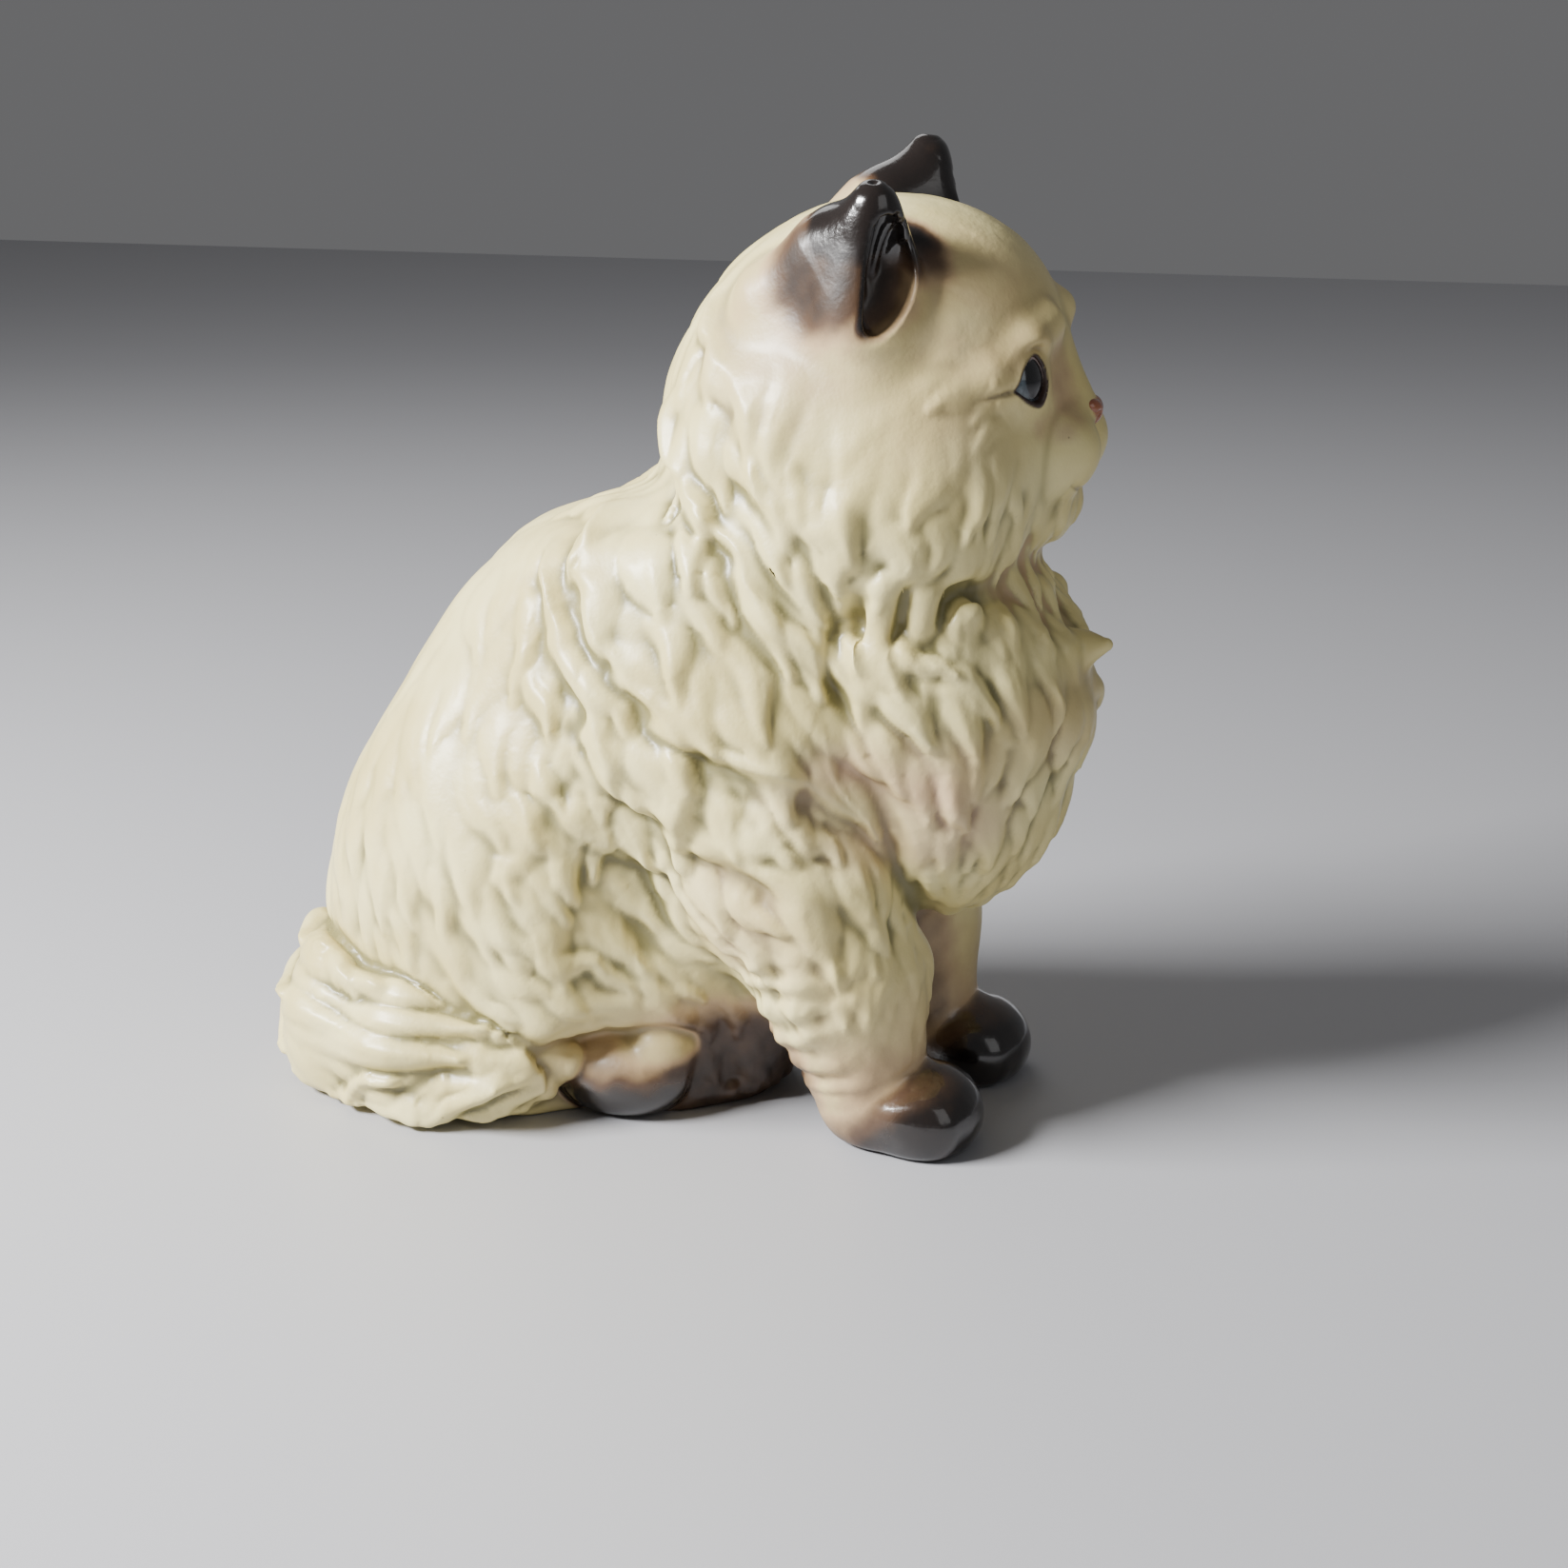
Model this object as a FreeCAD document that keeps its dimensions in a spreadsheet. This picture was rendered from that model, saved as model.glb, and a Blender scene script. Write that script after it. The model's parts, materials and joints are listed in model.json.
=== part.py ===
"""A seated long-haired cat, slip-cast in glazed earthenware, as the castings that are luted together before firing.

Row frame, millimetres: +Z up, the cat faces -Y, its left side is +X, and the origin is the middle of the flat base.
Lengths along the body are given as "fwd", the distance towards the face, so y is -fwd.
"""

import FreeCAD, Part

import math
import os

import Sketcher

doc = FreeCAD.newDocument("cat_figurine")
sheet = doc.addObject("Spreadsheet::Sheet", "sizes")
cells_used = 0


def size(alias, value):
    """Adds one driving dimension to the sheet."""
    global cells_used
    cells_used += 1
    sheet.set(f"A{cells_used}", alias)
    sheet.set(f"B{cells_used}", str(value))
    sheet.setAlias(f"B{cells_used}", alias)


def sizes(**values):
    for alias, value in values.items():
        size(alias, value)


# ---------------------------------------------------------------- driving dimensions
# The torso is a loft through ellipses at these heights: (name, height, back, front, half width).
TORSO_LEVELS = [
    ("foot", 0, -57, 26, 30),
    ("hock", 14, -61, 32, 33),
    ("knee", 30, -62, 43, 35),
    ("flank", 48, -58, 56, 35),
    ("elbow", 64, -51, 64, 34.5),
    ("rib", 80, -42, 68, 33),
    ("shoulder", 95, -30, 69, 32),
    ("nape", 106, -14, 69, 31),
    ("neck", 112, 0, 68, 29),
]
for name, height, back, front, half in TORSO_LEVELS:
    size(f"{name}_height", height)
    size(f"{name}_back", back)
    size(f"{name}_front", front)
    size(f"{name}_half", half)

sizes(
    wall=4,
    vent_radius=6,
    rim_width=7,
    head_fwd=38,
    head_height=127,
    head_long=36,
    head_half=32,
    head_tall=35,
    head_roll=6,
    head_yaw=5,
    cheek_fwd=47,
    cheek_side=17,
    cheek_height=117,
    cheek_radius=20,
    muzzle_fwd=69,
    muzzle_height=121,
    muzzle_radius=9,
    eye_fwd=64.2,
    eye_side=13.8,
    eye_height=134.2,
    eye_radius=6.6,
    nose_fwd=77,
    nose_height=127,
    nose_radius=2.6,
    ear_fwd=46,
    ear_side=21,
    ear_height=141,
    ear_long=26,
    ear_base=11.5,
    ear_thick=10.5,
    ear_wall=2.5,
    ear_lean=5,
    ear_turn=40,
    ruff_side=0,
    ruff_fwd=51,
    ruff_height=80,
    ruff_long=30,
    ruff_half=32,
    ruff_tall=30,
    paw_side=18,
    paw_fwd=52,
    paw_height=7,
    paw_long=14,
    paw_half=11.5,
    paw_tall=10,
    hind_paw_fwd=5,
    hind_paw_side=23,
    hind_paw_height=8,
    hind_paw_long=14,
    hind_paw_half=10.5,
    hind_paw_tall=12,
    haunch_fwd=-18,
    haunch_side=13,
    haunch_height=38,
    haunch_long=37,
    haunch_half=24.5,
    haunch_tall=40,
)
# The tail lies round the right haunch: (fwd, side, height, half thickness, half height), from root to tip.
TAIL_STATIONS = [
    ("root", -54, 9, 15, 8, 11),
    ("bend", -55, -10, 14, 11.5, 13),
    ("middle", -43, -26, 13, 12, 13),
    ("brush", -24, -30, 13, 11.5, 13),
    ("taper", -10, -29, 12, 7, 9),
    ("tip", -3, -28, 11, 1.5, 2),
]
for name, fwd, side, height, thick, tall in TAIL_STATIONS:
    size(f"tail_{name}_fwd", fwd)
    size(f"tail_{name}_side", side)
    size(f"tail_{name}_height", height)
    size(f"tail_{name}_thick", thick)
    size(f"tail_{name}_tall", tall)
# Each foreleg is a loft through circles: (name, fwd, side, height, radius), from the shoulder down.
LEG_STATIONS = [
    ("shoulder", 28, 16, 78, 10),
    ("upper", 33, 19, 56, 16.5),
    ("middle", 42, 19, 34, 13.5),
    ("ankle", 48, 18, 11, 10),
]
for name, fwd, side, height, radius in LEG_STATIONS:
    size(f"leg_{name}_fwd", fwd)
    size(f"leg_{name}_side", side)
    size(f"leg_{name}_height", height)
    size(f"leg_{name}_radius", radius)
doc.recompute()

SIDES = (("left", 1), ("right", -1))
Z_AXIS = FreeCAD.Vector(0, 0, 1)
SKY = 400  # larger than the figurine, for trimming boxes


def value(alias):
    return float(sheet.get(alias))


def place(side, fwd, height, rotation=None):
    """A Placement from the cat's own directions."""
    return FreeCAD.Placement(FreeCAD.Vector(side, -fwd, height), rotation or FreeCAD.Rotation())


def bind(obj, **expressions):
    """Binds an object's properties to expressions over the sheet."""
    for prop, expression in expressions.items():
        obj.setExpression(prop, expression)
    return obj


def seat(obj, side, stem):
    """Binds an upright object's place to the sheet's STEM_side, STEM_fwd and STEM_height."""
    obj.setExpression("Placement.Base.x", f"{side} * <<sizes>>.{stem}_side")
    obj.setExpression("Placement.Base.y", f"-<<sizes>>.{stem}_fwd")
    obj.setExpression("Placement.Base.z", f"<<sizes>>.{stem}_height")
    return obj


def ellipsoid(name, half, long, tall, placement):
    """An ellipsoid whose three radii are sheet expressions."""
    obj = doc.addObject("Part::Ellipsoid", name)
    bind(obj, Radius2=half, Radius3=long, Radius1=tall)
    obj.Placement = placement
    return obj


def ellipse(name, major, minor, placement):
    obj = doc.addObject("Part::Ellipse", name)
    bind(obj, MajorRadius=major, MinorRadius=minor)
    obj.Placement = placement
    return obj


def loft(name, sections):
    obj = doc.addObject("Part::Loft", name)
    obj.Sections = sections
    obj.Solid = True
    return obj


def fuse(name, *parts):
    obj = doc.addObject("Part::MultiFuse", name)
    obj.Shapes = list(parts)
    return obj


def cut(name, base, *tools):
    """base less each tool, the last result carrying the name."""
    for i, tool in enumerate(tools):
        obj = doc.addObject("Part::Cut", name if i == len(tools) - 1 else f"{name}_step{i + 1}")
        obj.Base = base
        obj.Tool = tool
        base = obj
    return base


def block(name, low, high):
    obj = doc.addObject("Part::Box", name)
    obj.Length, obj.Width, obj.Height = (b - a for a, b in zip(low, high))
    obj.Placement.Base = FreeCAD.Vector(*low)
    return obj


# ---------------------------------------------------------------- trimming tools
ground = block("ground", (-SKY, -SKY, -SKY), (SKY, SKY, 0))


# ---------------------------------------------------------------- torso
def torso_section(name, inset, label):
    """The torso's ellipse at one level, drawn in by inset."""
    long_half = f"(<<sizes>>.{name}_front - <<sizes>>.{name}_back) / 2 - {inset}"
    middle = (value(f"{name}_front") + value(f"{name}_back")) / 2
    turn = FreeCAD.Rotation(Z_AXIS, 90)
    obj = ellipse(
        f"{name}_{label}",
        long_half,
        f"<<sizes>>.{name}_half - {inset}",
        place(0, middle, value(f"{name}_height"), turn),
    )
    bind(obj, **{"Placement.Base.z": f"<<sizes>>.{name}_height"})
    return obj


def limb_ball(name, stem, side):
    """An upright ellipsoid with its radii and its place from the sheet's STEM cells."""
    radii = (f"<<sizes>>.{stem}_{part}" for part in ("half", "long", "tall"))
    return seat(ellipsoid(name, *radii, FreeCAD.Placement()), side, stem)


levels = [row[0] for row in TORSO_LEVELS]
torso_outer = loft("torso_outer", [torso_section(name, "0", "outside") for name in levels])
torso_inner = loft("torso_inner", [torso_section(name, "<<sizes>>.wall", "inside") for name in levels])
haunches = [limb_ball(f"haunch_{n}", "haunch", s) for n, s in SIDES]
body_outer = fuse("body_outer", torso_outer, *haunches)
body_solid = cut("body_solid", body_outer, ground)


# ---------------------------------------------------------------- head
HEAD_AT = place(0, value("head_fwd"), value("head_height"))
HEAD_TURN = FreeCAD.Rotation(Z_AXIS, value("head_yaw")) * FreeCAD.Rotation(
    FreeCAD.Vector(0, 1, 0), -value("head_roll")
)


def on_head(side, fwd, height, rotation=None):
    """A placement given on the level, straight head, carried to the tilted head."""
    local = place(side, fwd - value("head_fwd"), height - value("head_height"), rotation)
    return FreeCAD.Placement(HEAD_AT.Base, HEAD_TURN).multiply(local)


cranium = ellipsoid(
    "cranium",
    "<<sizes>>.head_half",
    "<<sizes>>.head_long",
    "<<sizes>>.head_tall",
    on_head(0, value("head_fwd"), value("head_height")),
)


def ball(name, radius, side, fwd, height, stretch=(1, 1, 1)):
    """An ellipsoid on the head, sized from one radius."""
    half, long, tall = (f"{radius} * {k}" for k in stretch)
    return ellipsoid(name, half, long, tall, on_head(side, fwd, height))


cheeks = [
    ball(
        f"cheek_{n}",
        "<<sizes>>.cheek_radius",
        s * value("cheek_side"),
        value("cheek_fwd"),
        value("cheek_height"),
        (1, 1, 0.9),
    )
    for n, s in SIDES
]
muzzle = ball(
    "muzzle",
    "<<sizes>>.muzzle_radius",
    0,
    value("muzzle_fwd"),
    value("muzzle_height"),
    (1.35, 1.1, 1),
)
head_outer = fuse("head_outer", cranium, *cheeks, muzzle)
below_neck = block("below_neck", (-SKY, -SKY, -SKY), (SKY, SKY, value("neck_height")))
bind(below_neck, Height=f"{SKY} + <<sizes>>.neck_height")
head_solid = cut("head_solid", head_outer, below_neck)
head_hollow = ellipsoid(
    "head_hollow",
    "<<sizes>>.head_half - <<sizes>>.wall",
    "<<sizes>>.head_long - <<sizes>>.wall",
    "<<sizes>>.head_tall - <<sizes>>.wall",
    on_head(0, value("head_fwd"), value("head_height")),
)


# ---------------------------------------------------------------- face details, painted in their own colours
def eye(name, side):
    return ball(name, "<<sizes>>.eye_radius", side * value("eye_side"), value("eye_fwd"), value("eye_height"))


eye_balls = {f"{n}_eye": eye(f"eyeball_{n}", s) for n, s in SIDES}
nose_ball = ball(
    "nose_ball",
    "<<sizes>>.nose_radius",
    0,
    value("nose_fwd"),
    value("nose_height"),
    (1.3, 0.8, 1),
)


# ---------------------------------------------------------------- ears
def ear(name, side):
    """A tapering cup, open forwards and outwards, with its root let into the skull."""
    lean = FreeCAD.Rotation(Z_AXIS, side * value("ear_turn")) * FreeCAD.Rotation(
        FreeCAD.Vector(1, 0, 0), value("ear_lean")
    )
    root = on_head(side * value("ear_side"), value("ear_fwd"), value("ear_height"), lean)

    def ring(label, rise, share, inset, shift):
        at = FreeCAD.Placement(FreeCAD.Vector(0, shift, rise), FreeCAD.Rotation())
        return ellipse(
            f"{name}_{label}",
            f"<<sizes>>.ear_base * {share} - {inset}",
            f"<<sizes>>.ear_thick * {share} - {inset}",
            root.multiply(at),
        )

    long = value("ear_long")
    outer = loft(
        f"{name}_outer",
        [
            ring("root", 0, 1, "0", 0),
            ring("half", long * 0.5, 0.74, "0", 0.5),
            ring("high", long * 0.85, 0.36, "0", 1),
            ring("peak", long, 0.1, "0", 1),
        ],
    )
    inset = "<<sizes>>.ear_wall"
    scoop = loft(
        f"{name}_scoop",
        [
            ring("scoop_root", -1, 1, inset, -value("ear_thick") * 0.5),
            ring("scoop_half", long * 0.45, 0.78, inset, -value("ear_thick") * 0.45),
            ring("scoop_high", long * 0.8, 0.46, "1.2", -value("ear_thick") * 0.4),
        ],
    )
    return outer, scoop


ear_shapes = {f"{n}_ear": ear(f"{n}_ear", s) for n, s in SIDES}


# ---------------------------------------------------------------- forelegs and paws
def foreleg(name, side):
    """A tapering column from the shoulder to the ankle, leaning forwards."""
    rings = []
    for station, *_ in LEG_STATIONS:
        ring = doc.addObject("Part::Circle", f"{name}_{station}")
        bind(ring, Radius=f"<<sizes>>.leg_{station}_radius")
        rings.append(seat(ring, side, f"leg_{station}"))
    return loft(name, rings)


# ---------------------------------------------------------------- tail
def tail_section(index):
    """An upright ellipse across the tail's run."""
    name, fwd, side = TAIL_STATIONS[index][:3]
    before = TAIL_STATIONS[max(index - 1, 0)]
    after = TAIL_STATIONS[min(index + 1, len(TAIL_STATIONS) - 1)]
    run = math.degrees(math.atan2(-(after[1] - before[1]), after[2] - before[2]))
    upright = FreeCAD.Rotation(Z_AXIS, run) * FreeCAD.Rotation(FreeCAD.Vector(0, 1, 0), 90)
    section = ellipse(
        f"tail_{name}_section",
        f"<<sizes>>.tail_{name}_tall",
        f"<<sizes>>.tail_{name}_thick",
        place(side, fwd, value(f"tail_{name}_height"), upright),
    )
    return seat(section, 1, f"tail_{name}")


tail_outer = loft("tail_outer", [tail_section(i) for i in range(len(TAIL_STATIONS))])


# ---------------------------------------------------------------- base plate
FOOT_MIDDLE = "-(<<sizes>>.foot_front + <<sizes>>.foot_back) / 2"
PLATE_LONG = "(<<sizes>>.foot_front - <<sizes>>.foot_back) / 2 - <<sizes>>.rim_width"
PLATE_HALF = "<<sizes>>.foot_half - <<sizes>>.rim_width"
CURVE_CENTRE = 3  # the sketcher's number for the centre point of a circle or an ellipse


def floor_sketch(body, name):
    drawn = body.newObject("Sketcher::SketchObject", name)
    plane = next(o for o in body.Origin.OriginFeatures if o.Role == "XY_Plane")
    drawn.AttachmentSupport = (plane, "")
    drawn.MapMode = "FlatFace"
    return drawn


def constrain(drawn, kind, *where, length, expression):
    """Adds a dimension to a sketch at its present length and binds it to the sheet."""
    index = drawn.addConstraint(Sketcher.Constraint(kind, *where, length))
    drawn.setExpression(f"Constraints[{index}]", expression)


def foot_middle():
    return -(value("foot_front") + value("foot_back")) / 2


def centre_on_foot(drawn, curve):
    drawn.addConstraint(Sketcher.Constraint("PointOnObject", curve, CURVE_CENTRE, -2))
    constrain(drawn, "DistanceY", -1, 1, curve, CURVE_CENTRE, length=foot_middle(), expression=FOOT_MIDDLE)


def base_plate():
    """The slab that closes the casting, with the vent that lets steam out in the kiln."""
    body = doc.addObject("PartDesign::Body", "base_plate")
    centre = FreeCAD.Vector(0, foot_middle(), 0)
    half_long = (value("foot_front") - value("foot_back")) / 2 - value("rim_width")
    half_wide = value("foot_half") - value("rim_width")

    outline = floor_sketch(body, "plate_outline")
    long_point = centre + FreeCAD.Vector(0, half_long, 0)
    wide_point = centre + FreeCAD.Vector(half_wide, 0, 0)
    curve = outline.addGeometry(Part.Ellipse(long_point, wide_point, centre))
    outline.exposeInternalGeometry(curve)
    long_axis, wide_axis = curve + 1, curve + 2
    outline.addConstraint(Sketcher.Constraint("Vertical", long_axis))
    constrain(outline, "Distance", long_axis, length=2 * half_long, expression=f"2 * ({PLATE_LONG})")
    constrain(outline, "Distance", wide_axis, length=2 * half_wide, expression=f"2 * ({PLATE_HALF})")
    centre_on_foot(outline, curve)

    pad = body.newObject("PartDesign::Pad", "plate_pad")
    pad.Profile = outline
    bind(pad, Length="<<sizes>>.wall")

    vent = floor_sketch(body, "vent_outline")
    hole = vent.addGeometry(Part.Circle(centre, Z_AXIS, value("vent_radius")))
    constrain(vent, "Radius", hole, length=value("vent_radius"), expression="<<sizes>>.vent_radius")
    centre_on_foot(vent, hole)

    pocket = body.newObject("PartDesign::Pocket", "vent_pocket")
    pocket.Profile = vent
    pocket.Type = "ThroughAll"
    pocket.Reversed = True
    body.Tip = pocket
    return body


plate = base_plate()
seat_outline = ellipse("seat_outline", PLATE_LONG, PLATE_HALF, place(0, 0, 0, FreeCAD.Rotation(Z_AXIS, 90)))
seat_outline.setExpression("Placement.Base.y", FOOT_MIDDLE)
plate_seat = doc.addObject("Part::Extrusion", "plate_seat")
plate_seat.Base = seat_outline
plate_seat.Dir = Z_AXIS
plate_seat.Solid = True
plate_seat.DirMode = "Custom"
bind(plate_seat, LengthFwd="<<sizes>>.wall")

# ---------------------------------------------------------------- the castings, each trimmed to its neighbours
above_floor = block("above_floor", (-SKY, -SKY, value("wall")), (SKY, SKY, SKY))
hollow = doc.addObject("Part::Common", "body_hollow")
hollow.Base = torso_inner
hollow.Tool = above_floor

paws = {n: limb_ball(f"{n}_paw_ball", "paw", s) for n, s in SIDES}
legs = {n: foreleg(f"{n}_leg_column", s) for n, s in SIDES}
hind_paws = {n: limb_ball(f"{n}_hind_paw_ball", "hind_paw", s) for n, s in SIDES}
ruff_ball = limb_ball("ruff_ball", "ruff", 1)

nodes = {
    "body_shell": cut("body_shell", body_solid, hollow, plate_seat),
    "base_plate": plate,
    "head_shell": cut("head_shell", head_solid, head_hollow, *eye_balls.values(), nose_ball),
    "nose": cut("nose", nose_ball, head_hollow),
    "tail": cut("tail", tail_outer, ground, body_outer),
    "chest_ruff": cut("chest_ruff", ruff_ball, body_outer, head_outer, legs["left"], legs["right"]),
}
for name, shape in eye_balls.items():
    nodes[name] = cut(name, shape, head_hollow)
for name, (outer, scoop) in ear_shapes.items():
    nodes[name] = cut(name, outer, head_outer, scoop)
for n, _ in SIDES:
    nodes[f"{n}_foreleg"] = cut(f"{n}_foreleg", legs[n], paws[n], body_outer)
    nodes[f"{n}_front_paw"] = cut(f"{n}_front_paw", paws[n], ground, body_outer)
    nodes[f"{n}_hind_paw"] = cut(f"{n}_hind_paw", hind_paws[n], ground, body_outer)

doc.recompute()

# ---------------------------------------------------------------- checks and export
failed = [o.Name for o in doc.Objects if {"Invalid", "Error"} & set(o.State)]
if failed:
    raise SystemExit(f"these objects failed to compute: {failed}")
os.makedirs("parts", exist_ok=True)
for name, obj in nodes.items():
    obj.Label = name
    shape = obj.Shape
    if shape.isNull() or not shape.isValid() or not shape.Solids:
        raise SystemExit(f"{name} has no valid solid")
    box = shape.BoundBox
    print(
        f"{name:18s} solids {len(shape.Solids)} volume {shape.Volume / 1000:8.2f} cm3  "
        f"x {box.XMin:6.1f} {box.XMax:6.1f}  y {box.YMin:6.1f} {box.YMax:6.1f}  z {box.ZMin:6.1f} {box.ZMax:6.1f}"
    )
    shape.exportStep(f"parts/{name}.step")
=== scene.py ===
import json
import math

import bmesh
import bpy
import numpy as np
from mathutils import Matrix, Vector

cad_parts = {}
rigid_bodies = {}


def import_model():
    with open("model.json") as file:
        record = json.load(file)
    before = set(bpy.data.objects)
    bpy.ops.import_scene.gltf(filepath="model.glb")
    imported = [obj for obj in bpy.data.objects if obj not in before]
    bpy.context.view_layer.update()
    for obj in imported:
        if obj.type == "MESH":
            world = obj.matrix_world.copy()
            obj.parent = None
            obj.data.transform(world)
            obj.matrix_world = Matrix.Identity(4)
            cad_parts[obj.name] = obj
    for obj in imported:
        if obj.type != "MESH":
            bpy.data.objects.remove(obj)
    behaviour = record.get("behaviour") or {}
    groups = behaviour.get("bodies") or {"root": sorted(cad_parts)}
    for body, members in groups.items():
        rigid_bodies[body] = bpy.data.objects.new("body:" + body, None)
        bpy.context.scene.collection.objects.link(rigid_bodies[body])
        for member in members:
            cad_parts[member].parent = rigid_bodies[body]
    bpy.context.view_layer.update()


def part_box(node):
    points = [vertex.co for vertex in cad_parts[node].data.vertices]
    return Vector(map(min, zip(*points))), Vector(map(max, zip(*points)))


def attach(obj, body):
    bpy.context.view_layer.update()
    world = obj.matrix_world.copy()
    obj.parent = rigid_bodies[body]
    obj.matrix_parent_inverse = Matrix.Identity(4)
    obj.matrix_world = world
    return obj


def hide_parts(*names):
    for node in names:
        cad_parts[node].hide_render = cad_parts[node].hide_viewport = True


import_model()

import openvdb
from mathutils import Matrix, Vector

# The sculpt works in millimetres in the row frame: x is the cat's left, -y its front, z up.
# "fwd" is the distance towards the face, so y = -fwd.
# A spot is written (side, fwd, height), with side + towards the cat's left.
MM = 0.001
SEED = 7
VOXEL = 1.1  # voxel of the first mesh; one split halves it
SIDES = (("left", 1), ("right", -1))


def spot(side, fwd, height):
    return np.array([side, -fwd, height], float)


def node_box(name):
    """A CAD node's lowest and highest corners, in millimetres."""
    low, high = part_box(name)
    return np.array(low) / MM, np.array(high) / MM


def node_centre(name):
    low, high = node_box(name)
    return (low + high) / 2


PAW = {n: node_centre(f"{n}_front_paw") for n, _ in SIDES}


# ---------------------------------------------------------------- distance fields
def ball(p, at, radii):
    """About the distance to an ellipsoid."""
    radii = np.asarray(radii, float)
    q = p - at
    k0 = np.sqrt(((q / radii) ** 2).sum(1))
    k1 = np.sqrt(((q / radii**2) ** 2).sum(1))
    return k0 * (k0 - 1) / np.maximum(k1, 1e-6)


def horn(p, a, b, radius_a, radius_b):
    """The distance to a rounded bar that tapers from a to b."""
    along = b - a
    t = np.clip((p - a) @ along / (along @ along), 0, 1)
    return np.linalg.norm(p - a - t[:, None] * along, axis=1) - (radius_a + t * (radius_b - radius_a))


def chain(p, spots, radii, k=2.0):
    """Horns from spot to spot, blended."""
    field = None
    for a, b, ra, rb in zip(spots, spots[1:], radii, radii[1:]):
        bar = horn(p, a, b, ra, rb)
        field = bar if field is None else join(field, bar, k)
    return field


def join(a, b, k):
    """A union rounded over k millimetres."""
    h = np.maximum(k - np.abs(a - b), 0) / k
    return np.minimum(a, b) - h * h * k / 4


def carve(a, b, k):
    """a less b, rounded over k millimetres."""
    return -join(-a, b, k)


def smooth_table(xs, ys, samples=240):
    """A C1 curve through points, sampled for np.interp."""
    xs, ys = np.asarray(xs, float), np.asarray(ys, float)
    slope = np.gradient(ys, xs)
    x = np.linspace(xs[0], xs[-1], samples)
    i = np.clip(np.searchsorted(xs, x, "right") - 1, 0, len(xs) - 2)
    gap = xs[i + 1] - xs[i]
    t = (x - xs[i]) / gap
    y = (
        (2 * t**3 - 3 * t**2 + 1) * ys[i]
        + (t**3 - 2 * t**2 + t) * gap * slope[i]
        + (3 * t**2 - 2 * t**3) * ys[i + 1]
        + (t**3 - t**2) * gap * slope[i + 1]
    )
    return x, y


def smoothstep(low, high, x):
    t = np.clip((x - low) / (high - low), 0, 1)
    return t * t * (3 - 2 * t)


def groove(field, distance, width, depth, k):
    """field with a groove along the line that distance is measured from."""
    return carve(field, np.maximum(distance - width / 2, -field - depth), k)


def from_line(u, v, a, b):
    """The distance in a plane to the stretch from a to b."""
    a, b = np.asarray(a, float), np.asarray(b, float)
    along = b - a
    t = np.clip(((u - a[0]) * along[0] + (v - a[1]) * along[1]) / (along @ along), 0, 1)
    return np.hypot(u - a[0] - t * along[0], v - a[1] - t * along[1])


def unit(v):
    return v / np.maximum(np.linalg.norm(v, axis=-1, keepdims=True), 1e-9)


def waves(p, length, seed):
    """Smooth, seeded unevenness between about -1 and 1, that changes over length millimetres."""
    rng = np.random.default_rng(seed)
    total = 0
    for _ in range(6):
        way = unit(rng.normal(size=3))
        total = total + np.sin(p @ way * 2 * math.pi / (length * rng.uniform(0.7, 1.5)) + rng.uniform(0, 6.3))
    return total / 3.2


# ---------------------------------------------------------------- torso
# height, back, front and half width of the level ellipses that the torso passes through
TORSO = (
    (-8, -55, 20, 28),
    (0, -57, 24, 30),
    (14, -61, 31, 33),
    (30, -62, 42, 34.5),
    (48, -58, 55, 35),
    (64, -51, 64, 34.5),
    (80, -42, 68, 33),
    (95, -30, 68, 31.5),
    (104, -18, 66, 30),
    (111, 0, 62, 27),
    (122, 16, 56, 20),
)


def torso(p):
    heights, backs, fronts, halves = zip(*TORSO)
    z = p[:, 2]
    back = np.interp(z, *smooth_table(heights, backs))
    front = np.interp(z, *smooth_table(heights, fronts))
    half = np.interp(z, *smooth_table(heights, halves))
    long = (front - back) / 2
    u = (-p[:, 1] - (front + back) / 2) / long
    v = p[:, 0] / half
    k0 = np.sqrt(u**2 + v**2)
    k1 = np.sqrt((u / long) ** 2 + (v / half) ** 2)
    walls = k0 * (k0 - 1) / np.maximum(k1, 1e-6)
    return -join(-walls, heights[-1] - z, 8)


def torso_field(p):
    field = torso(p)
    for _, side in SIDES:
        haunch = ball(p, spot(side * 13, -18, 38), (24, 37, 40))
        shoulder = ball(p, spot(side * 17, 24, 76), (18, 25, 34))
        field = join(field, haunch, 8)
        field = join(field, shoulder, 10)
        hollow = ball(p, spot(side * 37, 24, 8), (22, 14, 28))
        field = carve(field, hollow, 10)
        flank = ball(p, spot(side * 41, 10, 38), (14, 12, 25))
        field = carve(field, flank, 10)
    return field


# ---------------------------------------------------------------- the bib
SHELF = (  # the tops of the tufts along the bib's edge: side, fwd, height, radius
    (0, 79.5, 88, 3.2),
    (5.6, 78.5, 89, 2.5),
    (11, 76, 91, 3.3),
    (17, 71.5, 94.5, 2.8),
    (22.7, 66.5, 98, 3.7),
    (27.6, 60.5, 101.5, 2.6),
    (30.5, 54.5, 102.5, 2.4),
)


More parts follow.
